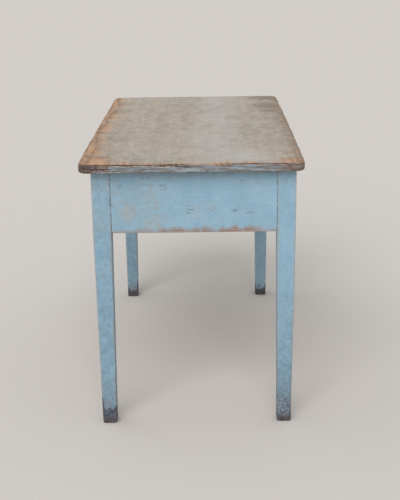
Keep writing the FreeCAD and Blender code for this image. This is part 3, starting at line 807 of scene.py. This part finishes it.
# Outline of a knob from its face to the drawer front, as shares of its radius and of how far it stands out
KNOB_SHARES = (
    (0.0, 1.0),
    (0.2, 0.992),
    (0.4, 0.966),
    (0.6, 0.917),
    (0.78, 0.845),
    (0.92, 0.763),
    (0.985, 0.705),
    (1.0, 0.655),
    (0.985, 0.605),
    (0.91, 0.545),
    (0.76, 0.455),
    (0.6, 0.375),
    (0.52, 0.315),
    (0.5, 0.265),
    (0.52, 0.205),
    (0.58, 0.150),
    (0.625, 0.110),
    (0.63, 0.075),
    (0.6, 0.0),
)
SPIGOT_RADIUS = 0.006
SPIGOT_PROUD = 0.0007
SPIGOT_CHAMFER = 0.0006
WEDGE_PROUD = 0.0012
WEDGE_WIDTH = 0.0024
WEDGE_DEPTH = 0.006
WEDGE_EASE = 0.0003
PEG_RADIUS = 0.0035
PEG_SIDES = 14
PEG_PROUD = 0.0002
PEG_SHOWN = 0.006
PEG_EASE = 0.0005
PEG_RUBBED = 0.3
PEG_FACING = 0.9


def ease_edges(mesh, edges, width):
    bmesh.ops.bevel(
        mesh, geom=edges, offset=width, offset_type="OFFSET", affect="EDGES", segments=2, profile=0.5,
        material=-1, clamp_overlap=True,
    )


def merged_copy(node):
    """A copy of a node's mesh with whole faces in place of loose triangles."""
    mesh = bmesh.new()
    mesh.from_mesh(frame["nodes"][node].data)
    bmesh.ops.remove_doubles(mesh, verts=mesh.verts, dist=MERGE_GAP)
    bmesh.ops.dissolve_limit(mesh, angle_limit=FLAT_ANGLE, verts=mesh.verts, edges=mesh.edges)
    return mesh


def turned_knob(drawer):
    """A knob turned about its axis, with the end of its spigot behind the drawer front."""
    low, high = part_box(f"{drawer}_knob")
    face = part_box(f"{drawer}_front")[0].y
    middle = (low + high) / 2
    radius = (high.x - low.x) / 2
    stand = face - low.y
    back = high.y + SPIGOT_PROUD
    outline = [(share * radius, face - out * stand) for share, out in KNOB_SHARES]
    outline += [
        (SPIGOT_RADIUS, face),
        (SPIGOT_RADIUS, back - SPIGOT_CHAMFER),
        (SPIGOT_RADIUS - SPIGOT_CHAMFER, back),
        (0, back),
    ]
    mesh = bmesh.new()
    chain = [mesh.verts.new((middle.x + out, y, middle.z)) for out, y in outline]
    edges = [mesh.edges.new(pair) for pair in zip(chain, chain[1:])]
    bmesh.ops.spin(
        mesh, geom=chain + edges, cent=middle, axis=(0, 1, 0), angle=math.tau, steps=KNOB_STEPS,
        use_merge=True,
    )
    bmesh.ops.remove_doubles(mesh, verts=mesh.verts, dist=MERGE_GAP)
    add_wood(mesh, low, high, 1)
    layers = wear_layers(mesh, ("bare", "grime_and_shade"))
    for vertex in mesh.verts:
        out = math.hypot(vertex.co.x - middle.x, vertex.co.z - middle.z) / radius
        front = (face - vertex.co.y) / stand
        vertex[layers["bare"]] = 0.35 + 0.5 * fade(out, 0.55, 0.95) + 0.25 * fade(front, 0.6, 1.0)
        vertex[layers["grime_and_shade"]] = 0.5 * fade(out, 0.72, 0.5) * fade(front, 0.75, 0.4) if front > 0 else 0
    place_piece(mesh, f"{drawer}_knob", "turned_knob")


def knob_wedge(drawer):
    """The wedge that spreads the spigot, driven in from behind and left a little proud."""
    low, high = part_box(f"{drawer}_knob_wedge")
    middle = Vector(((low.x + high.x) / 2, high.y + WEDGE_PROUD - WEDGE_DEPTH / 2, (low.z + high.z) / 2))
    mesh = bmesh.new()
    bmesh.ops.create_cube(mesh, size=1)
    bmesh.ops.scale(mesh, vec=(high.x - low.x, WEDGE_DEPTH, WEDGE_WIDTH), verts=mesh.verts)
    bmesh.ops.translate(mesh, vec=middle, verts=mesh.verts)
    ease_edges(mesh, mesh.edges[:], WEDGE_EASE)
    add_wood(mesh, low, high, 1)
    place_piece(mesh, f"{drawer}_knob_wedge", "bare_pine")


def peg_heads(source):
    """The middle of the outer end of each peg, and the way that it faces."""
    heads = []
    for face in source.faces:
        middle = face.calc_center_median()
        for axis in (0, 1):
            outermost = abs(abs(middle[axis]) - BASE_HIGH[axis]) < MERGE_GAP
            if outermost and abs(face.normal[axis]) > PEG_FACING:
                heads.append((middle, face.normal.copy()))
    return heads


def joint_pegs():
    """The heads of the pegs in the legs, cut off a hair proud of the faces and painted over."""
    source = merged_copy("joint_pegs")
    mesh = bmesh.new()
    for middle, out in peg_heads(source):
        turn = out.to_track_quat("Z", "Y").to_matrix().to_4x4()
        place = Matrix.Translation(middle + out * (PEG_PROUD - PEG_SHOWN / 2)) @ turn
        made = bmesh.ops.create_cone(
            mesh, cap_ends=True, segments=PEG_SIDES, radius1=PEG_RADIUS, radius2=PEG_RADIUS, depth=PEG_SHOWN,
            matrix=place,
        )
        head = [vertex for vertex in made["verts"] if (vertex.co - middle).dot(out) > 0]
        rim = [edge for edge in mesh.edges if edge.verts[0] in head and edge.verts[1] in head]
        ease_edges(mesh, rim, PEG_EASE)
    source.free()
    add_wood(mesh, *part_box("joint_pegs"), 2)
    layers = wear_layers(mesh, PAINT_LAYERS)
    for vertex in mesh.verts:
        vertex[layers["rubbed"]] = PEG_RUBBED
    place_piece(mesh, "joint_pegs", "blue_paint")


# Unpainted boards inside the base and the drawers

STRIPS = ("runner", "guide", "kicker")
STRIP_PLACES = ("left", "centre", "right")
DRAWER_BOARDS = ("left_side", "right_side", "back", "bottom")
INNER_BOARDS = [f"{strip}_{place}" for strip in STRIPS for place in STRIP_PLACES]
INNER_BOARDS += ["glue_blocks", "drawer_stops", "top_edge_dowels"]
INNER_BOARDS += [f"{drawer}_{board}" for drawer in DRAWERS for board in DRAWER_BOARDS]


def eased_board(node):
    """A bare board with its arrises eased, as left by a hand plane."""
    low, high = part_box(node)
    size = high - low
    mesh = merged_copy(node)
    edges = [edge for edge in mesh.edges if len(edge.link_faces) == 2 and edge.calc_length() > SHORT_EDGE]
    ease_edges(mesh, [edge for edge in edges if edge.calc_face_angle() > EASED_ANGLE], EASED_WIDTH)
    add_wood(mesh, low, high, max(range(3), key=lambda axis: size[axis]))
    place_piece(mesh, node, "bare_pine")


# Finishes

def tone(red, green, blue):
    """A colour as it looks on screen, each part from 0 to 255, turned into the light that a shader takes."""
    def light(part):
        share = part / 255
        return share / 12.92 if share < 0.04045 else ((share + 0.055) / 1.055) ** 2.4

    return [light(red), light(green), light(blue), 1.0]


class Sheet:
    """The nodes of one tree. Each call adds nodes and hands back the socket that they put out."""

    def __init__(self, tree):
        self.tree = tree

    def add(self, kind, inputs, **settings):
        node = self.tree.nodes.new(kind)
        for name, value in settings.items():
            setattr(node, name, value)
        for key, value in inputs.items():
            self.feed(node.inputs[key], value)
        return node

    def feed(self, socket, value):
        if isinstance(value, bpy.types.NodeSocket):
            self.tree.links.new(value, socket)
        else:
            socket.default_value = value

    def place(self):
        return self.add("ShaderNodeTexCoord", {}).outputs["Object"]

    def layer(self, name, output="Fac"):
        return self.add("ShaderNodeAttribute", {}, attribute_name=name).outputs[output]

    def stretched(self, place, sizes):
        """A place measured in the given sizes along X, Y and Z."""
        scale = [1 / size for size in sizes]
        return self.add("ShaderNodeMapping", {"Vector": place, "Scale": scale}).outputs["Vector"]

    def noise(self, place, scale, detail, roughness=0.5):
        inputs = {"Vector": place, "Scale": scale, "Detail": detail, "Roughness": roughness}
        return self.add("ShaderNodeTexNoise", inputs).outputs

    def cloud(self, place, size, detail, roughness=0.5):
        return self.noise(place, self.sum("DIVIDE", 1.0, size), detail, roughness)["Fac"]

    def drawn_out(self, place, sizes, detail, roughness=0.5):
        """A cloud drawn out to the given sizes along X, Y and Z."""
        return self.noise(self.stretched(place, sizes), 1.0, detail, roughness)["Fac"]

    def swayed(self, place, sway, noise_place, scale):
        """A place moved to and fro by noise, by up to half the sway."""
        drift = self.vector("SUBTRACT", self.noise(noise_place, scale, 2.0)["Color"], (0.5, 0.5, 0.5))
        return self.vector("ADD", self.vector("MULTIPLY", drift, sway), place)

    def ramp(self, value, start, end, low=0.0, high=1.0):
        inputs = {"Value": value, "From Min": start, "From Max": end, "To Min": low, "To Max": high}
        return self.add("ShaderNodeMapRange", inputs, interpolation_type="SMOOTHSTEP").outputs["Result"]

    def sum(self, operation, *values):
        return self.add("ShaderNodeMath", dict(enumerate(values)), operation=operation).outputs["Value"]

    def vector(self, operation, *values, output="Vector"):
        return self.add("ShaderNodeVectorMath", dict(enumerate(values)), operation=operation).outputs[output]

    def blend(self, share, first, second):
        node = self.add("ShaderNodeMix", {}, data_type="RGBA")
        sockets = {socket.identifier: socket for socket in node.inputs}
        self.feed(sockets["Factor_Float"], share)
        self.feed(sockets["A_Color"], first)
        self.feed(sockets["B_Color"], second)
        return next(socket for socket in node.outputs if socket.identifier == "Result_Color")

    def tints(self, colour, *rows):
        """Blends in one colour after another. A row is a mask, its strength and the colour."""
        for mask, strength, second in rows:
            colour = self.blend(self.sum("MULTIPLY", mask, strength), colour, second)
        return colour

    def relief(self, *rows):
        """The sum of several masks, each times its height."""
        height = 0.0
        for mask, amount in rows:
            height = self.sum("MULTIPLY_ADD", mask, amount, height)
        return height


# Effects that several finishes share

RING_DRIFT = (0.35, 0.09, 0.09)
RING_SWAY = (0, 0.03, 0.03)
FIBRE = (0.05, 0.0016, 0.0016)
SCRATCH_TURNS = ((0.3, 0.2, 0.7), (-0.2, 0.4, 2.0))
SPECK_RAGGED = (0.3, 0.3, 0.3)
SPECK_FINER = 7.0
BUMP_STRENGTH = 0.8
SOCKET_KINDS = {"Place": "Vector", "Light": "Color", "Dark": "Color", "Colour": "Color"}


def effect_group(name, inputs, outputs, effect):
    """A group of nodes with named sockets. Its effect takes what goes in and hands back what comes out."""
    group = bpy.data.node_groups.new(name, "ShaderNodeTree")
    for in_out, titles in (("INPUT", inputs), ("OUTPUT", outputs)):
        for title in titles:
            kind = SOCKET_KINDS.get(title, "Float")
            group.interface.new_socket(title, in_out=in_out, socket_type=f"NodeSocket{kind}")
    sheet = Sheet(group)
    given = sheet.add("NodeGroupInput", {}).outputs
    made = effect(sheet, *[given[title] for title in inputs])
    sheet.add("NodeGroupOutput", dict(zip(outputs, made)))
    return group


def pine_grain(sheet, place, ring, light, dark):
    """Growth rings about a heart along X, with fine fibres."""
    moved = sheet.swayed(place, RING_SWAY, sheet.stretched(place, RING_DRIFT), 1.0)
    radius = sheet.vector("LENGTH", sheet.vector("MULTIPLY", moved, (0, 1, 1)), output="Value")
    rings = sheet.sum("FRACT", sheet.sum("DIVIDE", radius, ring))
    late = sheet.sum("MULTIPLY", sheet.ramp(rings, 0.35, 0.88), sheet.ramp(rings, 1.0, 0.93))
    fibre = sheet.ramp(sheet.drawn_out(place, FIBRE, 3.0, 0.6), 0.35, 0.7)
    lines = sheet.relief((fibre, 0.45), (late, 0.62))
    return sheet.blend(lines, light, dark), lines


def worn_patches(sheet, place, wear, size, soft):
    """Ragged patches that spread as the wear grows from 0 to 1, and a rim round them."""
    cloud = sheet.cloud(place, size, 6.0, 0.66)
    spread = sheet.sum("MULTIPLY", wear, sheet.sum("MULTIPLY_ADD", soft, 2.0, 1.0))
    height = sheet.sum("ADD", sheet.ramp(cloud, 0.22, 0.78), spread)
    height = sheet.sum("SUBTRACT", height, sheet.sum("ADD", soft, 1.0))
    below = sheet.sum("MULTIPLY", soft, -1.0)
    mask = sheet.ramp(height, below, soft)
    near = sheet.ramp(height, sheet.sum("MULTIPLY", soft, -3.0), below)
    rim = sheet.sum("MULTIPLY", sheet.sum("SUBTRACT", near, mask), sheet.ramp(wear, 0.05, 0.4))
    return mask, rim


def fine_scratches(sheet, place, length, width):
    """Fine straight marks that run in two directions, in places only."""
    size = sheet.add("ShaderNodeCombineXYZ", {0: length, 1: width, 2: width}).outputs["Vector"]
    marks = []
    for turn in SCRATCH_TURNS:
        turned = sheet.add("ShaderNodeMapping", {"Vector": place, "Rotation": turn}).outputs["Vector"]
        lines = sheet.noise(sheet.vector("DIVIDE", turned, size), 1.0, 1.0)["Fac"]
        marks.append(sheet.ramp(lines, 0.70, 0.78))
    where = sheet.cloud(place, length, 2.0)
    return [sheet.sum("MULTIPLY", sheet.sum("MAXIMUM", *marks), sheet.ramp(where, 0.45, 0.6))]


def soft_mottling(sheet, place, size):
    """Soft clouds of the given size, from 0 to 1."""
    return [sheet.ramp(sheet.cloud(place, size, 5.0, 0.62), 0.33, 0.67)]


def small_specks(sheet, place, size, share):
    """Small irregular marks, in a given share of cells of the given size."""
    inverse = sheet.sum("DIVIDE", 1.0, size)
    counted = sheet.vector("MULTIPLY", place, inverse)
    moved = sheet.swayed(counted, SPECK_RAGGED, place, sheet.sum("MULTIPLY", inverse, SPECK_FINER))
    cells = sheet.add("ShaderNodeTexVoronoi", {"Vector": moved, "Scale": 1.0}).outputs
    pick = sheet.add("ShaderNodeSeparateColor", {"Color": cells["Color"]}).outputs
    width = sheet.ramp(pick["Green"], 0.0, 1.0, 0.07, 0.2)
    dot = sheet.ramp(sheet.sum("DIVIDE", cells["Distance"], width), 1.0, 0.55)
    return [sheet.sum("MULTIPLY", dot, sheet.sum("LESS_THAN", pick["Red"], share))]


GRAIN = effect_group("pine_grain", ("Place", "Ring", "Light", "Dark"), ("Colour", "Lines"), pine_grain)
WORN = effect_group("worn_patches", ("Place", "Wear", "Size", "Soft"), ("Mask", "Rim"), worn_patches)
SCRATCHES = effect_group("scratches", ("Place", "Length", "Width"), ("Mask",), fine_scratches)
MOTTLING = effect_group("mottling", ("Place", "Size"), ("Mask",), soft_mottling)
SPECKS = effect_group("specks", ("Place", "Size", "Share"), ("Mask",), small_specks)


class Finish(Sheet):
    """The sheet of one material, with the shared effects at hand."""

    def __init__(self, name):
        self.material = bpy.data.materials.new(name)
        self.material.use_nodes = True
        super().__init__(self.material.node_tree)
        self.shader = self.tree.nodes["Principled BSDF"]

    def effect(self, group, *values):
        return self.add("ShaderNodeGroup", dict(enumerate(values)), node_tree=group).outputs

    def grain(self, place, ring, light, dark):
        return self.effect(GRAIN, place, ring, light, dark)

    def worn(self, place, wear, size, soft):
        """Patches by an amount of wear, or by the wear in a layer of the piece."""
        return self.effect(WORN, place, self.layer(wear) if isinstance(wear, str) else wear, size, soft)

    def mottled(self, place, *sizes):
        return [self.effect(MOTTLING, place, size)["Mask"] for size in sizes]

    def specked(self, place, size, share):
        return self.effect(SPECKS, place, size, share)["Mask"]

    def scratched(self, place, length, width):
        return self.effect(SCRATCHES, place, length, width)["Mask"]

    def done(self, colour, roughness, height, depth):
        """Joins colour, roughness and relief to the shader, and hands back the material."""
        bump = self.add("ShaderNodeBump", {"Height": height, "Distance": depth, "Strength": BUMP_STRENGTH})
        self.feed(self.shader.inputs["Base Color"], colour)
        self.feed(self.shader.inputs["Roughness"], roughness)
        self.feed(self.shader.inputs["Normal"], bump.outputs["Normal"])
        return self.material


SKY = tone(143, 179, 202)
SKY_DEEP = tone(127, 165, 190)
SKY_PALE = tone(163, 191, 207)
SKY_GREEN = tone(137, 167, 174)
THIN_PAINT = tone(172, 165, 156)
RUBBED_PAINT = tone(164, 176, 178)
# Dark blue-grey for soil and painted shade
SOILED_AND_SHADED_PAINT = tone(84, 104, 118)
PAINT_SPECK = tone(88, 96, 102)
OLD_PAINT = tone(156, 136, 128)
BARE_LIGHT = tone(168, 147, 135)
BARE_DARK = tone(114, 93, 84)
# Near-black for dirt and for painted shadow
FOOT_DIRT_AND_SHADE = tone(40, 40, 47)
FOOT_SCUFF = tone(91, 95, 107)
FOOT_WOOD = tone(62, 53, 51)
BRUSH_MARK = (0.07, 0.0018, 0.0018)
SCUFF_MARK = (0.018, 0.0055, 0.0055)


def blue_paint():
    """Old oil paint, brushed on along the grain: chalky, rubbed grey on the arrises, worn to brown wood."""
    paint = Finish("worn_blue_paint")
    wood = paint.layer("wood", "Vector")
    bare = paint.worn(wood, "bare", size=0.006, soft=0.26)
    # Dirt on the feet and in the joints, and painted shadow under the top and along the joints
    dirt_and_shade = paint.worn(wood, "grime_and_shade", size=0.005, soft=0.21)
    rubbed = paint.worn(wood, "rubbed", size=0.012, soft=0.60)
    # Soil, and painted shade on the legs towards the floor
    soil_and_shade = paint.worn(wood, "soil_and_shade", size=0.012, soft=1.40)
    broad, middle, fine, chalk = paint.mottled(wood, 0.10, 0.032, 0.009, 0.0028)
    brushed = paint.ramp(paint.drawn_out(wood, BRUSH_MARK, 2.0), 0.33, 0.68)
    specks = paint.specked(wood, size=0.017, share=0.12)
    scratches = paint.scratched(wood, length=0.035, width=0.0012)
    streaks = paint.ramp(paint.drawn_out(wood, SCUFF_MARK, 3.0, 0.6), 0.53, 0.62)
    scuffs = paint.sum("MULTIPLY", streaks, paint.layer("scuffed"))
    grain = paint.grain(wood, 0.0042, BARE_LIGHT, BARE_DARK)
    colour = paint.tints(
        paint.blend(broad, SKY_DEEP, SKY),
        (middle, 0.36, SKY_PALE),
        (fine, 0.34, SKY_GREEN),
        (chalk, 0.20, SKY_PALE),
        (brushed, 0.22, SKY_DEEP),
        (scratches, 0.35, RUBBED_PAINT),
        (rubbed["Mask"], 0.6, RUBBED_PAINT),
        (paint.sum("MULTIPLY", rubbed["Mask"], fine), 0.42, THIN_PAINT),
        (soil_and_shade["Mask"], 0.9, SOILED_AND_SHADED_PAINT),
        (specks, 0.55, PAINT_SPECK),
        (scuffs, 0.72, PAINT_SPECK),
        (bare["Rim"], 0.6, OLD_PAINT),
    )
    colour = paint.blend(bare["Mask"], colour, grain["Colour"])
    # The near-black tone of the dirt, which also paints the shadow under the top
    dirt_and_shade_tone = paint.tints(paint.blend(fine, FOOT_DIRT_AND_SHADE, FOOT_SCUFF), (bare["Mask"], 0.45, FOOT_WOOD))
    colour = paint.tints(colour, (dirt_and_shade["Mask"], 0.92, dirt_and_shade_tone))
    roughness = paint.ramp(paint.sum("ADD", bare["Mask"], fine), 0.0, 1.6, 0.52, 0.82)
    height = paint.relief(
        (bare["Mask"], -0.8),
        (brushed, 0.2),
        (grain["Lines"], -0.25),
        (specks, -0.6),
        (paint.sum("ADD", scratches, scuffs), -0.3),
    )
    return paint.done(colour, roughness, height, depth=0.0006)


WASHED = tone(188, 180, 169)
WASHED_GREY = tone(187, 187, 191)
WASHED_WARM = tone(164, 149, 132)
WASHED_PINK = tone(194, 180, 165)
WASHED_OLIVE = tone(144, 136, 121)
WASHED_DARK = tone(120, 109, 96)
STAINED = tone(106, 86, 70)
RUBBED_LIGHT = tone(200, 156, 118)
RUBBED_DARK = tone(128, 88, 60)
# Dark brown for dirt and for painted shade
TOP_DIRT_AND_SHADE = tone(66, 52, 44)
EDGE_LIGHT = tone(141, 122, 111)
EDGE_DARK = tone(70, 62, 60)
EDGE_PAINT = tone(132, 144, 153)
EDGE_PAINT_PALE = tone(170, 181, 188)
EDGE_PAINT_GREY = tone(118, 122, 124)
UNDER_LIGHT = tone(170, 136, 100)
UNDER_DARK = tone(124, 92, 64)
LENGTHWISE = (1.6, 1.0, 1.0)
TOP_FIBRE = (0.10, 0.0014, 0.0014)
TOP_BAND = (0.60, 0.022, 0.022)
EDGE_STREAK = (0.09, 0.09, 0.0028)
EDGE_PATCH = (0.034, 0.034, 0.006)


def scrubbed_top():
    """Pine scrubbed grey, rubbed back to warm wood along its edges, with remains of paint on its flanks."""
    top = Finish("scrubbed_top")
    place = top.place()
    wood = top.layer("wood", "Vector")
    bare = top.worn(place, "bare", size=0.011, soft=0.48)
    stain = top.worn(place, "stain", size=0.017, soft=0.70)
    # Dirt, a darker line at the near arris, and painted shade along the foot of the flank
    dirt_and_shade = top.worn(place, "grime_and_shade", size=0.008, soft=0.30)
    along = top.stretched(place, LENGTHWISE)
    broad, pink, olive = top.mottled(along, 0.17, 0.042, 0.026)
    ticks, pores = top.mottled(place, 0.012, 0.0035)
    specks = top.specked(place, size=0.026, share=0.16)
    cuts = top.scratched(place, length=0.06, width=0.0011)
    grain = top.grain(wood, 0.012, RUBBED_LIGHT, RUBBED_DARK)
    under = top.grain(wood, 0.0046, UNDER_LIGHT, UNDER_DARK)
    uneven = top.sum("MULTIPLY", olive, top.ramp(broad, 0.0, 1.0, 0.35, 1.0))
    fibre = top.ramp(top.drawn_out(wood, TOP_FIBRE, 4.0, 0.6), 0.38, 0.66)
    bands = top.ramp(top.drawn_out(wood, TOP_BAND, 3.0, 0.6), 0.36, 0.64)
    lines = top.sum("MULTIPLY", grain["Lines"], top.ramp(pink, 0.0, 1.0, 0.2, 1.0))
    face = top.tints(
        WASHED,
        (broad, 0.26, WASHED_WARM),
        (pink, 0.60, WASHED_PINK),
        (uneven, 0.78, WASHED_OLIVE),
        (ticks, 0.32, WASHED_DARK),
        (pores, 0.16, WASHED_PINK),
        (fibre, 0.11, WASHED_DARK),
        (lines, 0.13, WASHED_DARK),
        (bands, 0.24, WASHED_OLIVE),
        # Pale patches, and a painted sheen along the middle
        (top.layer("pale"), 0.50, WASHED_GREY),
        (cuts, 0.35, WASHED_DARK),
        (bare["Mask"], 0.85, grain["Colour"]),
        (stain["Mask"], 0.6, STAINED),
        (specks, 0.5, TOP_DIRT_AND_SHADE),
    )
    flank, coat = edge_finish(top, place, grain["Lines"])
    normal = top.add("ShaderNodeNewGeometry", {}).outputs["Normal"]
    tilt = top.add("ShaderNodeSeparateXYZ", {0: normal}).outputs["Z"]
    colour = top.blend(top.ramp(tilt, 0.62, 0.18), face, flank)
    colour = top.blend(top.ramp(tilt, -0.5, -0.85), colour, under["Colour"])
    colour = top.tints(colour, (dirt_and_shade["Mask"], 0.85, TOP_DIRT_AND_SHADE))
    roughness = top.ramp(top.sum("ADD", bare["Mask"], ticks), 0.0, 2.0, 0.84, 0.64)
    height = top.relief((specks, -0.8), (grain["Lines"], -0.4), (coat, 0.4), (cuts, -0.5), (ticks, -0.15))
    return top.done(colour, roughness, height, depth=0.0006)


def edge_finish(top, place, lines):
    """The flanks, dark weathered wood with streaks of pale paint: a colour and the mask of the paint."""
    streaks = top.drawn_out(place, EDGE_STREAK, 5.0, 0.64)
    patches = top.drawn_out(place, EDGE_PATCH, 5.0, 0.66)
    level = top.ramp(top.relief((streaks, 0.5), (patches, 0.5)), 0.32, 0.68)
    level = top.sum("SUBTRACT", top.sum("ADD", level, top.layer("coat")), 1.0)
    coat = top.ramp(level, -0.38, 0.38)
    paint = top.blend(top.ramp(streaks, 0.50, 0.66), EDGE_PAINT, EDGE_PAINT_PALE)
    paint = top.tints(paint, (top.ramp(patches, 0.56, 0.36), 0.8, EDGE_PAINT_GREY))
    worn = top.tints(EDGE_LIGHT, (lines, 0.6, EDGE_DARK), (top.ramp(streaks, 0.56, 0.34), 0.85, EDGE_DARK))
    return top.blend(coat, worn, paint), coat


PINE_LIGHT = tone(190, 152, 108)
PINE_DARK = tone(138, 98, 62)
PINE_GREY = tone(132, 112, 90)
PINE_DIRT = tone(84, 66, 50)


def bare_pine():
    """Unpainted pine, browned by age, with dust and stains."""
    pine = Finish("bare_pine")
    wood = pine.layer("wood", "Vector")
    grain = pine.grain(wood, 0.0048, PINE_LIGHT, PINE_DARK)
    broad = pine.mottled(wood, 0.14)[0]
    stains = pine.worn(wood, 0.33, size=0.07, soft=0.2)
    specks = pine.specked(wood, size=0.022, share=0.07)
    colour = pine.tints(
        grain["Colour"],
        (broad, 0.45, PINE_GREY),
        (stains["Mask"], 0.22, PINE_DIRT),
        (specks, 0.6, PINE_DIRT),
    )
    roughness = pine.ramp(broad, 0.0, 1.0, 0.7, 0.86)
    return pine.done(colour, roughness, pine.relief((specks, -0.6), (grain["Lines"], -0.4)), depth=0.0005)


KNOB_LIGHT = tone(142, 108, 78)
KNOB_DARK = tone(86, 61, 44)
KNOB_DIRT = tone(52, 40, 32)


def turned_knob_finish():
    """Turned wood with the paint worn away by hands, polished where it is gripped and dark in the neck."""
    knob = Finish("turned_knob")
    wood = knob.layer("wood", "Vector")
    bare = knob.worn(wood, "bare", size=0.008, soft=0.12)
    dirt_and_shade = knob.worn(wood, "grime_and_shade", size=0.006, soft=0.3)
    grain = knob.grain(wood, 0.0032, KNOB_LIGHT, KNOB_DARK)
    paint = knob.blend(knob.mottled(wood, 0.014)[0], SKY_DEEP, SKY)
    colour = knob.tints(paint, (bare["Rim"], 0.6, OLD_PAINT))
    colour = knob.blend(bare["Mask"], colour, grain["Colour"])
    colour = knob.tints(colour, (dirt_and_shade["Mask"], 0.75, KNOB_DIRT))
    roughness = knob.ramp(knob.sum("SUBTRACT", bare["Mask"], dirt_and_shade["Mask"]), 0.0, 1.0, 0.6, 0.38)
    height = knob.relief((bare["Mask"], -0.8), (grain["Lines"], -0.2))
    return knob.done(colour, roughness, height, depth=0.0004)


IRON = tone(62, 58, 56)
IRON_RUST = tone(112, 70, 48)


def dark_iron():
    """Old nails and screws: dark iron with rust."""
    iron = Finish("dark_iron")
    rust = iron.worn(iron.place(), 0.5, size=0.004, soft=0.2)["Mask"]
    iron.feed(iron.shader.inputs["Metallic"], iron.ramp(rust, 0.0, 1.0, 0.8, 0.1))
    roughness = iron.ramp(rust, 0.0, 1.0, 0.5, 0.9)
    return iron.done(iron.blend(rust, IRON, IRON_RUST), roughness, rust, depth=0.0002)


# The table

FINISHES = {
    "blue_paint": blue_paint(),
    "scrubbed_top": scrubbed_top(),
    "bare_pine": bare_pine(),
    "turned_knob": turned_knob_finish(),
}
IRONWORK = dark_iron()
NAILS = ["guide_nails", "kicker_screws"] + [f"{drawer}_bottom_nails" for drawer in DRAWERS]

for plank in PLANKS:
    scrubbed_plank(plank)
for leg in LEGS:
    painted_leg(leg)
painted_boards()
joint_pegs()
for board in INNER_BOARDS:
    eased_board(board)
for drawer in DRAWERS:
    turned_knob(drawer)
    knob_wedge(drawer)
for node in NAILS:
    frame["nodes"][node].data.materials.clear()
    frame["nodes"][node].data.materials.append(IRONWORK)


# Floor, light and camera

FLOOR_SIZE = 60.0
FLOOR_DROP = 0.0005
FLOOR_TONE = tone(208, 202, 196)
FLOOR_ROUGHNESS = 0.9
FILL_TONE = (0.95, 0.975, 1.0, 1.0)
FILL_STRENGTH = 0.46
BACKDROP_TONE = tone(212, 207, 202)
LAMPS = (
    {"name": "window", "from": (0.74, -0.16, 0.64), "spread": math.radians(45), "strength": 1.80},
    {"name": "side", "from": (-0.30, -0.85, 0.45), "spread": math.radians(60), "strength": 0.35},
    {"name": "ceiling", "from": (0.12, -0.15, 1.0), "spread": math.radians(110), "strength": 0.45},
)
CAMERA_PLACE = (3.13735, 0.01446, 1.29267)
CAMERA_PITCH = 0.29423
CAMERA_ROLL = 0.01251
CAMERA_LENS = 71.84
CAMERA_SENSOR = 36.0


def pale_floor():
    mesh = bmesh.new()
    bmesh.ops.create_grid(mesh, x_segments=1, y_segments=1, size=FLOOR_SIZE / 2)
    bmesh.ops.translate(mesh, vec=(0, 0, -FLOOR_DROP), verts=mesh.verts)
    finish = Finish("pale_floor")
    finish.feed(finish.shader.inputs["Base Color"], FLOOR_TONE)
    finish.feed(finish.shader.inputs["Roughness"], FLOOR_ROUGHNESS)
    mesh_object(mesh, "floor", finish.material)


def soft_light():
    """Even light from all round with three soft lamps, before a pale backdrop."""
    world = bpy.data.worlds.new("studio")
    world.use_nodes = True
    sheet = Sheet(world.node_tree)
    fill = world.node_tree.nodes["Background"]
    fill.inputs["Color"].default_value = FILL_TONE
    fill.inputs["Strength"].default_value = FILL_STRENGTH
    seen = sheet.add("ShaderNodeBackground", {"Color": BACKDROP_TONE, "Strength": 1.0})
    path = sheet.add("ShaderNodeLightPath", {}).outputs
    direct = sheet.sum("MAXIMUM", path["Is Camera Ray"], path["Is Glossy Ray"])
    direct = sheet.sum("MAXIMUM", direct, path["Is Transmission Ray"])
    mixed = sheet.add("ShaderNodeMixShader", {0: direct, 1: fill.outputs[0], 2: seen.outputs[0]})
    sheet.feed(world.node_tree.nodes["World Output"].inputs["Surface"], mixed.outputs[0])
    bpy.context.scene.world = world
    for lamp in LAMPS:
        light = bpy.data.lights.new(lamp["name"], "SUN")
        light.angle = lamp["spread"]
        light.energy = lamp["strength"]
        holder = add_object(lamp["name"], light)
        holder.rotation_euler = (-Vector(lamp["from"])).to_track_quat("-Z", "Y").to_euler()


def photograph_camera():
    data = bpy.data.cameras.new("camera")
    data.lens = CAMERA_LENS
    data.sensor_width = CAMERA_SENSOR
    camera = add_object("camera", data)
    level = Euler((math.pi / 2 - CAMERA_PITCH, 0, math.pi / 2)).to_matrix()
    turn = level @ Matrix.Rotation(-CAMERA_ROLL, 3, "Z")
    camera.matrix_world = Matrix.Translation(CAMERA_PLACE) @ turn.to_4x4()
    bpy.context.scene.camera = camera


pale_floor()
soft_light()
photograph_camera()
bpy.context.scene.view_settings.view_transform = "Standard"
